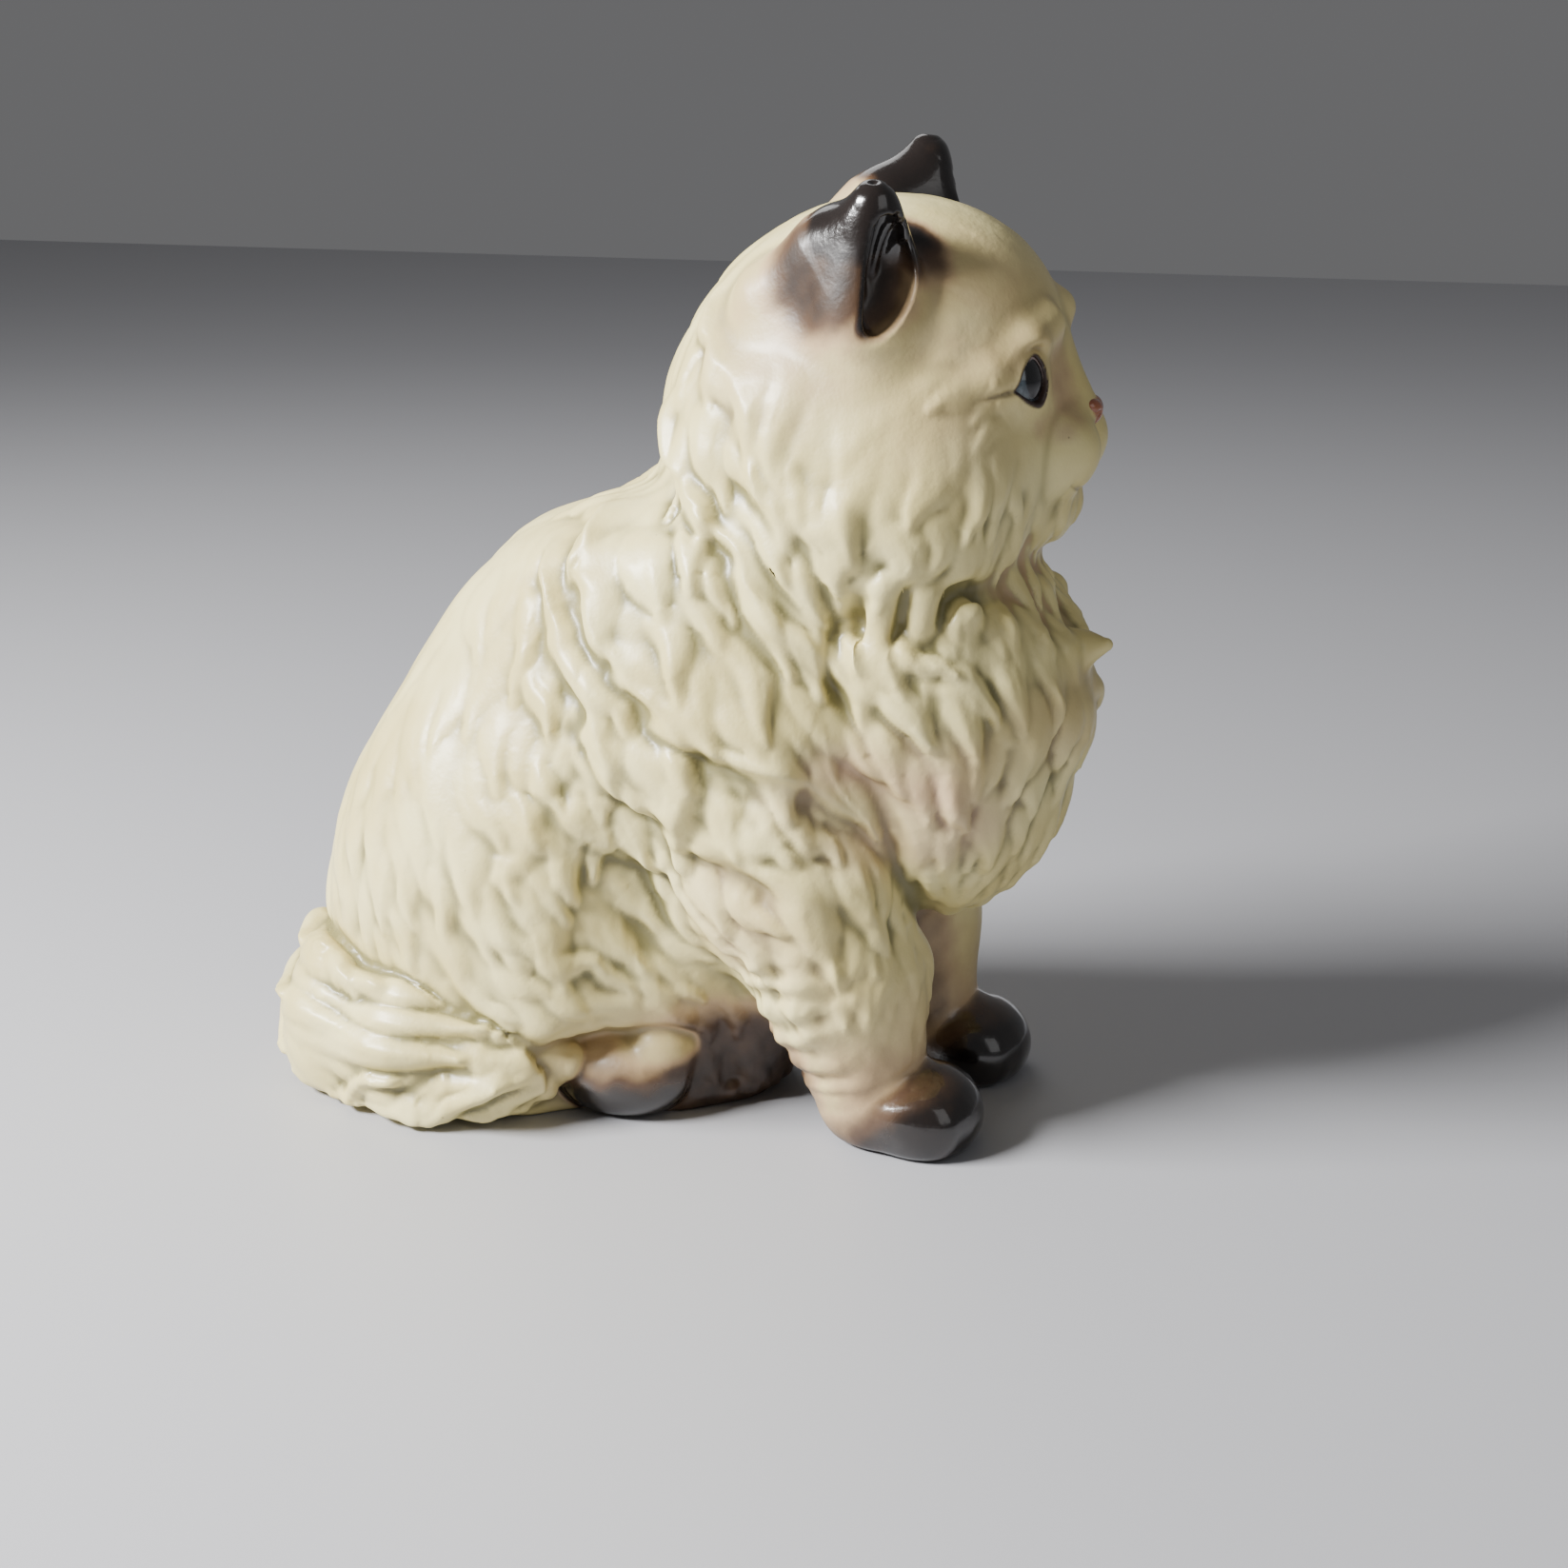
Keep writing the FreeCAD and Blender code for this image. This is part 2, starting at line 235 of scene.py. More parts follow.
def ruff_field(p):
    """The bib of long fur on the chest, whose top edge stands out in a row of tufts."""
    field = ball(p, spot(0, 51, 79), (31, 27, 28))
    lower = ball(p, spot(0, 54, 60), (23, 19, 22))
    field = join(field, lower, 12)
    for _, side in SIDES:
        above = [spot(side * s * 0.97, f - 1, h + 6.0) for s, f, h, _ in SHELF]
        field = carve(field, chain(p, above, [4.2] * len(SHELF), 2), 3)
        lip = [spot(side * s * 0.95, f - r - 2, h - r - 1.5) for s, f, h, r in SHELF]
        field = join(field, chain(p, lip, (3.4, 3.4, 3.4, 3.4, 3.2, 2.4, 1.2), 2), 4)
        skirt = [spot(side * s * 0.93, f - 8, h - 13) for s, f, h, r in SHELF]
        field = join(field, chain(p, skirt, (6.5, 6.5, 6.5, 6.5, 6, 4, 1.5), 3), 7)
        for s, f, h, r in SHELF:
            top = spot(side * s, f - r, h - r)
            foot = spot(side * s * 0.97, f - r - 1.2, h - r - 12)
            field = join(field, horn(p, top, foot, r, r * 0.75), 1.0)
    point = horn(p, spot(-1, 72, 83.5), spot(-1.5, 83, 87.4), 5.8, 1.2)
    return join(field, point, 2.0)


def shelf_recess(p):
    """The hollow between the bib's edge and the ruff above it."""
    field = None
    for _, side in SIDES:
        above = [spot(side * s * 0.99, f + 1.0, h + 4.6) for s, f, h, _ in SHELF[:-2]]
        line = chain(p, above, (2.6, 2.6, 2.4, 1.8, 0.6), 2)
        field = line if field is None else np.minimum(field, line)
    return field


# ---------------------------------------------------------------- legs, paws, tail
def leg_field(p, side):
    shoulder, elbow = spot(side * 17, 26, 66), spot(side * 19.5, 36, 46)
    shin, wrist = spot(side * 19, 42, 30), spot(side * 18, 46.5, 12)
    return chain(p, (shoulder, elbow, shin, wrist), (15, 15.5, 13.5, 10.5), 6)


PAW_HEIGHT = 6.3  # of the middle of a front paw
TOE_GAP = 4.8


def paw_field(p, name):
    centre = PAW[name].copy()
    centre[2] = PAW_HEIGHT
    field = ball(p, centre, (10.8, 14.2, 9.2))
    for k in (-1.5, -0.5, 0.5, 1.5):
        toe = centre + spot(k * TOE_GAP, 8.6 - abs(k) * 1.3, -1.2)
        field = join(field, ball(p, toe, (3.6, 5.8, 6.0)), 4)
    return field


def hind_paw_field(p, side):
    pad = ball(p, spot(side * 20.5, 1.5, 7.5), (8.4, 12.5, 8.2))
    knob = ball(p, spot(side * 19, 8.5, 12.5), (6.8, 6.4, 6.8))
    return join(pad, knob, 1.6)


TAIL_SPOTS = (
    spot(10, -54, 15),
    spot(-9, -55, 13),
    spot(-22, -49, 12.5),
    spot(-28, -34, 12),
    spot(-28, -19, 11.5),
    spot(-27, -6, 11),
)
TAIL_RADII = (9, 12, 13, 12.5, 9.5, 3)


def tail_field(p):
    squat = np.array([1, 1, 0.88])
    return chain(p * squat, [s * squat for s in TAIL_SPOTS], TAIL_RADII, 6)


# ---------------------------------------------------------------- head
HEAD_PIVOT = spot(0, 38, 127)
HEAD_YAW = math.radians(5)
HEAD_TILT = math.radians(-6)
HEAD_TURN = np.array(Matrix.Rotation(HEAD_YAW, 3, "Z") @ Matrix.Rotation(HEAD_TILT, 3, "Y"))


def to_head(p):
    """Points carried to the head's own level, straight frame."""
    return (p - HEAD_PIVOT) @ HEAD_TURN + HEAD_PIVOT


def from_head(p):
    return (p - HEAD_PIVOT) @ HEAD_TURN.T + HEAD_PIVOT


EYE = {n: to_head(node_centre(f"{n}_eye")) for n, _ in SIDES}  # on the level head
EYE_RADIUS = 6.6
EYE_SIZE = 0.8  # of the opening
EYE_TURN = math.radians(31)  # how far each eye looks outwards
LID = 0.6  # its thickness
NOSE = spot(0, 77.9, 126.4)
MOUTH_HALF = 9
MOUTH_FWD = 58  # the mouth and the cleft lie in front of this


def eye_axes(side):
    """Across (outwards), up and out of the eye."""
    out = unit(spot(side * math.sin(EYE_TURN), math.cos(EYE_TURN), 0.05))
    up = unit(np.array([0, 0, 1.0]) - out * out[2])
    across = np.cross(up, out)
    return across * np.sign(across[0]) * side, up, out


def eye_local(ph, name, side):
    """Eye coordinates on the level head: across (towards the ear), up, and out of the eye."""
    q = ph - EYE[name]
    return [q @ axis for axis in eye_axes(side)]


def bowed(u, v, bulge, half):
    """A line along v, pushed outwards in its middle."""
    return u - bulge * (1 - (v / half) ** 2)


def eye_opening(a, b):
    """Negative between the lids, an upright rounded triangle: a is outwards, b is up."""
    a, b = a / EYE_SIZE, b / EYE_SIZE
    right, top = a - 1.6, b - 2.2
    upper = bowed(right * 0.69 + top * 0.724, right * 0.724 - top * 0.69, 1.5, 4.8)
    right, bottom = a - 1.9, b + 2.6
    lower = bowed(right * 0.548 - bottom * 0.836, right * 0.836 + bottom * 0.548, 1.0, 4.6)
    nasal = np.hypot(a - 4.1, b) - 8.3
    return -join(-np.maximum(upper, lower), -nasal, 1.4) * EYE_SIZE


def mouth_gap(ph):
    """How far above or below the mouth line, which dips at each side of the cleft and lifts at its ends."""
    side = np.abs(ph[:, 0])
    line = 113.9 + 2.2 * np.clip(1 - side / 4, 0, 1) ** 2 + 1.5 * np.clip((side - 4) / 5, 0, 1) ** 2
    return np.abs(ph[:, 2] - line)


def face_field(ph):
    field = ball(ph, spot(0, 42.5, 129.5), (28.5, 31, 31.5))
    forehead = ball(ph, spot(0, 50.3, 139.3), (21.5, 22.2, 19.6))
    field = join(field, forehead, 6)
    for _, side in SIDES:
        cheek = ball(ph, spot(side * 16.5, 51, 119.5), (17, 16, 14.5))
        field = join(field, cheek, 7)
        brow = [
            spot(side * 6.5, 71.4, 142),
            spot(side * 14, 69.2, 140),
            spot(side * 20.3, 64.0, 136.3),
            spot(side * 25.5, 56, 134),
        ]
        field = join(field, chain(ph, brow, (3.2, 3.1, 2.8, 1.0), 3), 2.6)
        pad = ball(ph, spot(side * 4.8, 73.4, 120.6), (6.3, 7.2, 7.0))
        field = join(field, pad, 0.8)
        moat = np.maximum(np.abs(pad - 0.7), 4 - np.abs(ph[:, 0])) + 9 * (ph[:, 1] < -74)
        field = groove(field, moat, 0.7, 1.0, 2.0)
    bridge = horn(ph, spot(0, 70, 136), spot(0, 75.2, 127.4), 4.4, 3.7)
    chin = ball(ph, spot(0, 69.5, 110.5), (6.5, 6.2, 5.5))
    field = join(field, bridge, 3)
    field = join(field, chin, 3)
    for name, side in SIDES:
        a, b, c = eye_local(ph, name, side)
        opening = eye_opening(a, b)
        socket = np.maximum(opening - 1.7, 4.6 - c)
        field = carve(field, socket, 2.0)
        lids = ball(ph, EYE[name], (EYE_RADIUS + LID,) * 3)
        lids = np.maximum(lids, opening - 2.2)
        field = join(field, lids, 1.6)
        hole = np.maximum(np.maximum(opening, 1 - c), c - 11)
        field = carve(field, hole, 0.5)
        crease = from_line(a, b, (4.4, -0.6), (11, -1.4)) + 4 * (c < 0)
        field = groove(field, crease, 0.8, 1.7, 1.8)
    # the mouth follows the surface below the pads, and a cleft runs down from the nose
    behind = 9 * (ph[:, 1] > -MOUTH_FWD)
    line = np.maximum(mouth_gap(ph), np.abs(ph[:, 0]) - MOUTH_HALF) + behind
    field = groove(field, line, 0.9, 1.8, 1.2)
    cleft = np.maximum(np.abs(ph[:, 0]), np.abs(ph[:, 2] - 120.5) - 4.5) + behind
    field = groove(field, cleft, 0.5, 1.3, 2.0)
    tip = ball(ph, NOSE, (2.6, 2.1, 1.9))
    return join(field, tip, 1.0)


def mane_field(ph):
    field = ball(ph, spot(0, 40, 120.5), (33, 34.5, 33))
    for _, side in SIDES:
        jowl = ball(ph, spot(side * 19, 46, 110), (17, 19, 15))
        field = join(field, jowl, 8)
    under = ball(ph, spot(0, 80, 103), (10, 9, 6))
    return carve(field, under, 5)


EAR_ROOT = {n: spot(s * 21.5, 47.5, 143) for n, s in SIDES}
EAR_LONG = 24.0
EAR_TURN = math.radians(40)


def ear_axes(side):
    """Across (towards the forehead), opening and up directions of an ear."""
    up = unit(spot(side * 0.06, 0.02, 1))
    opening = spot(side * math.sin(EAR_TURN), math.cos(EAR_TURN), 0.0)
    opening = unit(opening - up * (opening @ up))
    across = np.cross(opening, up)
    across *= -np.sign(across[1])
    return across, opening, up


def ear_local(ph, name, side):
    q = ph - EAR_ROOT[name]
    across, opening, up = [q @ axis for axis in ear_axes(side)]
    return across + 0.09 * up, opening, up


def ear_taper(t):
    return (1 - np.clip(t / EAR_LONG, 0, 1)) ** 0.7


def ear_scoop(a, b, t):
    """Negative inside the hollow of the ear, which is round below and pointed above."""
    foot = 7.0 + 0.95 * a  # the hollow starts higher towards the forehead
    below = np.clip((foot + 5 - t) / 7.5, 0, 1)
    shape = ear_taper(t) * np.sqrt(1 - below**2)
    half = np.maximum(8.4 * shape - 0.3, 0.05)
    deep = np.maximum(7.0 * shape - 0.3, 0.05)
    k = np.sqrt((a / half) ** 2 + ((b - 4.2 * ear_taper(t)) / deep) ** 2)
    inwards = a + half  # from the rear rim
    rings = smoothstep(0.8, 1.8, inwards) * smoothstep(9, 6, inwards) * smoothstep(21, 15, t)
    rings *= smoothstep(1, 5, t - foot)
    ridges = 0.45 * np.cos(2 * math.pi * (inwards - 0.6) / 2.3) * rings
    return (k - 1) * np.minimum(half, deep) + ridges


def ear_field(ph, name, side):
    a, b, t = ear_local(ph, name, side)
    taper = ear_taper(t)
    half = 8.8 * taper + 1.5
    deep = 5.6 * taper + 1.7
    k = np.sqrt((a / half) ** 2 + (b / deep) ** 2)
    outer = (k - 1) * np.minimum(half, deep)
    outer = -join(-outer, EAR_LONG - t, 2.0)
    across, opening, up = ear_axes(side)
    root = EAR_ROOT[name]
    tip = root + up * 21.5 - across * 1.6 - opening * 0.8
    fin = [root + spot(-side * 6.5, -19, 3.5), root + spot(-side * 2.5, -7.5, 13), tip]
    hood = chain(ph, fin, (7.5, 5.6, 1.2), 8)
    lower = horn(ph, root + spot(-side * 4.5, -15, -6), root - across * 5.5 + up * 3 - opening * 2.5, 7.5, 4)
    field = join(outer, join(hood, lower, 9), 6)
    scoop = ear_scoop(a, b, t)
    field = carve(field, scoop, 1.6)
    ridge = horn(ph, root + across * 2 + opening * 1, root + across * 1.5 + up * 8 - opening * 1, 2.2, 1.0)
    return join(field, ridge, 1.6)


# ---------------------------------------------------------------- foot
BASE_LOW, BASE_HIGH = node_box("base_plate")


def base_recess(p):
    """Negative where the base slab sits, and in the kiln hollow above its vent."""
    centre = (BASE_LOW + BASE_HIGH) / 2
    half = (BASE_HIGH - BASE_LOW) / 2 + 0.25
    k = np.hypot((p[:, 0] - centre[0]) / half[0], (p[:, 1] - centre[1]) / half[1])
    slab = np.maximum((k - 1) * half[0], p[:, 2] - BASE_HIGH[2] - 0.25)
    hollow = ball(p, np.array([centre[0], centre[1], BASE_HIGH[2] + 5]), (12, 12, 12))
    return np.minimum(slab, hollow)


# ---------------------------------------------------------------- the whole surface
FAR = 30.0


def near(p, low, high, margin, field_of, *which):
    """field_of(p, *which) inside a box, and a large distance elsewhere."""
    inside = np.all((p > np.asarray(low) - margin) & (p < np.asarray(high) + margin), axis=1)
    field = np.full(len(p), FAR)
    if inside.any():
        field[inside] = field_of(p[inside], *which)
    return field


def fields(p):
    """The field of every casting, by node name."""
    ph = to_head(p)
    found = {"body_shell": torso_field(p)}
    found["chest_ruff"] = near(p, (-36, -90, 25), (36, -15, 112), 12, ruff_field)
    found["tail"] = near(p, (-56, -5, 0), (24, 70, 30), 10, tail_field)
    face = near(ph, (-40, -85, 95), (40, 5, 170), 12, face_field)
    mane = near(ph, (-42, -85, 78), (42, 5, 160), 15, mane_field)
    found["head_shell"] = join(face, mane, 7)
    for name, side in SIDES:
        low, high = sorted((side * 2, side * 38))
        found[f"{name}_foreleg"] = near(p, (low, -62, 0), (high, -5, 85), 12, leg_field, side)
        found[f"{name}_front_paw"] = near(p, (low, -72, -3), (high, -32, 18), 10, paw_field, name)
        low, high = sorted((side * 6, side * 40))
        found[f"{name}_hind_paw"] = near(p, (low, -34, -3), (high, 14, 24), 10, hind_paw_field, side)
        low, high = sorted((side * 2, side * 42))
        found[f"{name}_ear"] = near(ph, (low, -66, 132), (high, -12, 176), 10, ear_field, name, side)
    return found


def surface(p):
    """The outside of the glazed figurine."""
    parts = fields(p)
    skin = parts["body_shell"]
    for name, side in SIDES:
        skin = join(skin, parts[f"{name}_foreleg"], 7)
        under_haunch = ball(p, spot(side * 31, 5, 6), (11.5, 17.5, 14))
        skin = carve(skin, under_haunch, 5)
        skin = join(skin, parts[f"{name}_hind_paw"], 1.6)
        skin = join(skin, parts[f"{name}_front_paw"], 1.5)
    skin = join(skin, parts["head_shell"], 6)
    skin = join(skin, parts["chest_ruff"], 3)
    skin = carve(skin, shelf_recess(p), 2.5)
    for name, _ in SIDES:
        skin = join(skin, parts[f"{name}_ear"], 2.0)
    skin = join(skin, parts["tail"], 0.8)
    skin = -join(-skin, p[:, 2], 1.6)
    return carve(skin, base_recess(p), 0.3)


SCULPT_LOW = (-60.0, -94.0, -4.0)  # the block that holds the whole figurine
SCULPT_HIGH = (48.0, 76.0, 178.0)
SLAB = 12  # voxels worked out at a time, to save memory


def first_mesh():
    """Quads over the surface at the voxel's size."""
    low, high = np.array(SCULPT_LOW), np.array(SCULPT_HIGH)
    counts = np.ceil((high - low) / VOXEL).astype(int)
    values = np.empty(tuple(counts), np.float32)
    ys = low[1] + VOXEL * np.arange(counts[1])
    zs = low[2] + VOXEL * np.arange(counts[2])
    for start in range(0, counts[0], SLAB):
        xs = low[0] + VOXEL * np.arange(start, min(start + SLAB, counts[0]))
        grid = np.stack(np.meshgrid(xs, ys, zs, indexing="ij"), -1).reshape(-1, 3)
        values[start : start + len(xs)] = surface(grid).reshape(len(xs), counts[1], counts[2])
    band = 3 * VOXEL
    volume = openvdb.FloatGrid(band)
    volume.copyFromArray(np.clip(values, -band, band), tolerance=1e-4)
    points, quads = volume.convertToQuads(isovalue=0.0)
    return low + VOXEL * points.astype(float), quads.astype(np.int64)


def edges_of(quads):
    pairs = np.sort(np.stack([quads, np.roll(quads, -1, 1)], 2).reshape(-1, 2), 1)
    key = pairs[:, 0] * (quads.max() + 1) + pairs[:, 1]
    _, first, inverse = np.unique(key, return_index=True, return_inverse=True)
    return pairs[first], inverse.reshape(-1, 4)


def split_quads(points, quads):
    """Each quad as four."""
    edges, index = edges_of(quads)
    middles = points[edges].mean(1)
    centres = points[quads].mean(1)
    e = index + len(points)
    c = np.arange(len(quads)) + len(points) + len(edges)
    fine = [np.stack([quads[:, i], e[:, i], c, e[:, i - 1]], 1) for i in range(4)]
    return np.concatenate([points, middles, centres]), np.concatenate(fine)


def add_up(index, values, count):
    """Sums rows of values into count bins."""
    return np.stack([np.bincount(index, values[:, i], count) for i in range(values.shape[1])], 1)


def relax(points, edges, share=0.5):
    """Moves each vertex towards the middle of its neighbours."""
    both = np.concatenate([edges, edges[:, ::-1]])
    total = add_up(both[:, 0], points[both[:, 1]], len(points))
    number = np.bincount(both[:, 0], minlength=len(points))[:, None]
    return points + share * (total / np.maximum(number, 1) - points)


def slope(p, field, step=0.05):
    columns = []
    for axis in range(3):
        shift = np.zeros(3)
        shift[axis] = step
        columns.append((field(p + shift) - field(p - shift)) / (2 * step))
    return np.stack(columns, 1)


def settle(points, field, rounds=3, reach=0.8):
    """Moves points onto the field's zero."""
    for _ in range(rounds):
        value = field(points)
        g = slope(points, field)
        move = value[:, None] * g / np.maximum((g * g).sum(1), 0.2)[:, None]
        size = np.linalg.norm(move, axis=1, keepdims=True)
        points = points - move * np.minimum(1, reach / np.maximum(size, 1e-9))
    return points


# ---------------------------------------------------------------- mesh helpers
def mesh_object(name, points, faces):
    mesh = bpy.data.meshes.new(name)
    mesh.from_pydata((points * MM).tolist(), [], faces)
    mesh.shade_smooth()
    obj = bpy.data.objects.new(name, mesh)
    bpy.context.scene.collection.objects.link(obj)
    return obj


def read(collection, attribute, width, kind=float):
    out = np.empty(len(collection) * width, np.float32 if kind is float else np.int32)
    collection.foreach_get(attribute, out)
    return out.reshape(-1, width).astype(kind) if width > 1 else out.astype(kind)


def move_vertices(mesh, points):
    """Puts the vertices at points, and gives the surface's normals there."""
    mesh.vertices.foreach_set("co", (points * MM).astype(np.float32).ravel())
    mesh.update()
    return read(mesh.vertex_normals, "vector", 3)


def put_masks(piece, masks):
    """Writes values per vertex, which the materials read by name."""
    for key, values in masks.items():
        layer = piece.data.attributes.new(key, "FLOAT", "POINT")
        layer.data.foreach_set("value", values.astype(np.float32))


def refine(mesh, zones):
    """One more split of the faces within each zone's ball."""
    work = bmesh.new()
    work.from_mesh(mesh)
    work.verts.ensure_lookup_table()
    at = np.array([v.co for v in work.verts]) / MM
    inside = np.zeros(len(at), bool)
    for centre, radius in zones:
        inside |= np.linalg.norm(at - centre, axis=1) < radius
    chosen = [e for e in work.edges if inside[e.verts[0].index] and inside[e.verts[1].index]]
    bmesh.ops.subdivide_edges(work, edges=chosen, cuts=1, use_grid_fill=True)
    work.to_mesh(mesh)
    work.free()


def face_centres(points, corners, starts, totals):
    return np.add.reduceat(points[corners], starts, axis=0) / totals[:, None]


def blur(values, edges, rounds):
    """A value per vertex, averaged with its neighbours'."""
    both = np.concatenate([edges, edges[:, ::-1]])
    number = np.maximum(np.bincount(both[:, 0], minlength=len(values)), 1)
    for _ in range(rounds):
        around = np.bincount(both[:, 0], values[both[:, 1]], len(values)) / number
        values = 0.4 * values + 0.6 * around
    return values


def blur_points(points, edges, rounds):
    return np.stack([blur(points[:, i], edges, rounds) for i in range(3)], 1)


def beside_path(q, path):
    """For each point of q: its nearest stretch of the path, that stretch's way, the gap from it, and
    how far along the whole path it is, from 0 to 1."""
    a, ab = path[:-1], path[1:] - path[:-1]
    t = np.clip(((q[:, None] - a) * ab).sum(2) / np.maximum((ab * ab).sum(1), 1e-9), 0, 1)
    gap = q[:, None] - a - t[..., None] * ab
    k = (gap**2).sum(2).argmin(1)
    row = np.arange(len(q))
    return k, unit(ab)[k], gap[row, k], (k + t[row, k]) / len(a)


# ---------------------------------------------------------------- fur
# How the hair lies at each spot: spot (side, fwd, height), way (side, fwd, height),
# then the length, width and height of a lock.
HAIR = (
    ((4, 40, 162), (0, -1, -0.2), 12, 6, 0.1),
    ((0, 60, 158), (0.1, -1, 0.3), 10, 5, 0.05),
    ((10, 12, 145), (0, -0.3, -1), 18, 8, 0.9),
    ((0, 8, 135), (0, -0.1, -1), 18, 8, 1.1),
    ((26, 30, 140), (0.2, -0.35, -1), 15, 6, 0.9),
    ((31, 22, 128), (0, 0.2, -1), 17, 7.5, 1.7),
    ((33, 25, 116), (0, 0.35, -1), 17, 7.5, 1.8),
    ((33, 35, 105), (0, 0.6, -1), 16, 7.5, 1.8),
    ((26, 54, 134), (0.5, -1, -0.5), 10, 5, 0.15),
    ((28, 46, 140), (0.2, -0.3, -1), 12, 6, 0.5),
    ((31, 42, 130), (0.1, -0.3, -1), 15, 7, 1.3),
    ((28, 54, 119), (0.2, -0.3, -1), 15, 6.5, 1.5),
    ((26, 58, 106), (0, 0.1, -1), 16, 5, 1.4),
    ((12, 70, 106), (0.1, 0.1, -1), 12, 4, 1.0),
    ((0, 0, 115), (0, -0.8, -1), 16, 8, 0.7),
    ((0, 78, 78), (0, 0, -1), 14, 8, 1.4),
    ((16, 74, 76), (0, 0.05, -1), 14, 7.5, 1.5),
    ((28, 60, 82), (0, 0.4, -1), 14, 8, 1.8),
    ((10, 70, 55), (0, -0.35, -1), 11, 5.5, 1.0),
    ((24, 58, 52), (0, 0.1, -1), 12, 5.5, 0.6),
    ((31, 44, 66), (0, 0.6, -1), 15, 7.5, 1.7),
    ((33, 20, 90), (0, 0.45, -1), 17, 8, 2.0),
    ((34, 28, 64), (0, 0.65, -1), 15, 7, 1.7),
    ((30, 42, 46), (0, 0.5, -1), 12, 6.5, 0.9),
    ((28, 44, 28), (0, 0.3, -1), 8, 5, 0.12),
    ((35, -5, 82), (0, 0.25, -1), 17, 7, 1.4),
    ((36, 0, 55), (0, 0.6, -1), 15, 6.5, 1.5),
    ((32, -32, 78), (0, 0.15, -1), 17, 6.5, 0.6),
    ((24, -50, 50), (0.2, 0.2, -1), 15, 5.2, 0.8),
    ((37, -22, 52), (0, 0.45, -1), 16, 6, 0.9),
    ((36, -14, 28), (0, 0.8, -0.8), 14, 5.5, 1.0),
    ((30, 15, 35), (0, 0.7, -1), 11, 5, 0.9),
    ((0, -15, 106), (0, -1, -0.4), 20, 9, 0.12),
    ((0, -45, 82), (0, -0.4, -1), 18, 8, 0.18),
    ((0, -61, 45), (0, -0.1, -1), 16, 6.5, 0.6),
    ((24, -15, 97), (0.3, -0.1, -1), 18, 7.5, 0.7),
)
FUR_SCALES = ((2.0, 1.5), (1.15, 1.3))  # clumps, then locks: size and height
LOCK_LONG = 0.92  # shares of the table's length and width
LOCK_WIDE = 1.15
ALONG_GAP = 0.5  # between the roots, as a share of a lock's length
ACROSS_GAP = 0.8  # and of its width
TAIL_HAIR = (34, 6.5, 2.2)  # length, width and height of a lock
TAIL_TIP_HAIR = (10, 3, 0.6)
MOST_ROOTS = 45000  # vertices tried as roots
STEPS = 9  # along a lock
BIN = 3.0  # side of a search box
HAIRLESS = 0.05  # no lock takes root where the hair's share is less


def hair_guides():
    rows = [(spot(side * s[0], s[1], s[2]), unit(spot(side * w[0], w[1], w[2])), size)
            for s, w, *size in HAIR for _, side in SIDES]
    return [np.array(column, float) for column in zip(*rows)]


def tail_guides():
    rows = []
    for a, b in zip(TAIL_SPOTS, TAIL_SPOTS[1:]):
        for share in (0, 0.5):
            rows.append((a + (b - a) * share, unit(b - a), TAIL_HAIR))
    rows.append((TAIL_SPOTS[-1], unit(TAIL_SPOTS[-1] - TAIL_SPOTS[-2]), TAIL_TIP_HAIR))
    return [np.array(column, float) for column in zip(*rows)]


def flow(p, guides):
    """The way that the hair lies at p, and its length, width and height there."""
    spots, ways, sizes = guides
    gap = ((p[:, None, :] - spots[None]) ** 2).sum(2)
    share = 1 / (gap + 12) ** 2
    share /= share.sum(1, keepdims=True)
    return unit(share @ ways), share @ sizes


def scatter(points, allowed, guides, rng):
    """Spots for the locks' roots, further apart along the hair than across it."""
    order = rng.permutation(np.flatnonzero(allowed))[:MOST_ROOTS]
    at = points[order]
    way, size = flow(at, guides)
    cell = 0.5 * size[:, 0].max()
    grid = {}
    kept = []
    keys = np.floor(at / cell).astype(int)
    for i, key in enumerate(keys):
        near_by = []
        for x in (-1, 0, 1):
            for y in (-1, 0, 1):
                for z in (-1, 0, 1):
                    near_by += grid.get((key[0] + x, key[1] + y, key[2] + z), ())
        if near_by:
            gap = at[near_by] - at[i]
            along = gap @ way[i]
            across = np.sqrt(np.maximum((gap**2).sum(1) - along**2, 0))
            apart = (along / (ALONG_GAP * size[i, 0])) ** 2 + (across / (ACROSS_GAP * size[i, 1])) ** 2
            if apart.min() < 1:
                continue
        grid.setdefault(tuple(key), []).append(i)
        kept.append(i)
    return at[kept]


def grow(roots, guides, rng):
    """The middle line of each lock and the surface's normals along it."""
    count = len(roots)
    _, size = flow(roots, guides)
    size = size * rng.uniform(0.75, 1.3, (count, 3))
    bend = 0.75 * waves(roots, 26, SEED + 5) + rng.uniform(-0.3, 0.3, count)
    phase = rng.uniform(-0.4, 0.4, count)
    p = roots
    path, ups = [p], []
    for step in range(STEPS):
        up = unit(slope(p, surface))
        way, _ = flow(p, guides)
        way = unit(way - up * (way * up).sum(1, keepdims=True))
        angle = (bend * np.sin(2 * math.pi * (step + 0.5) / STEPS + phase))[:, None]
        way = way * np.cos(angle) + np.cross(up, way) * np.sin(angle)
        p = settle(p + way * size[:, :1] / STEPS, surface, 1)
        path.append(p)
        ups.append(up)
    return np.stack(path, 1), np.stack(ups, 1), size


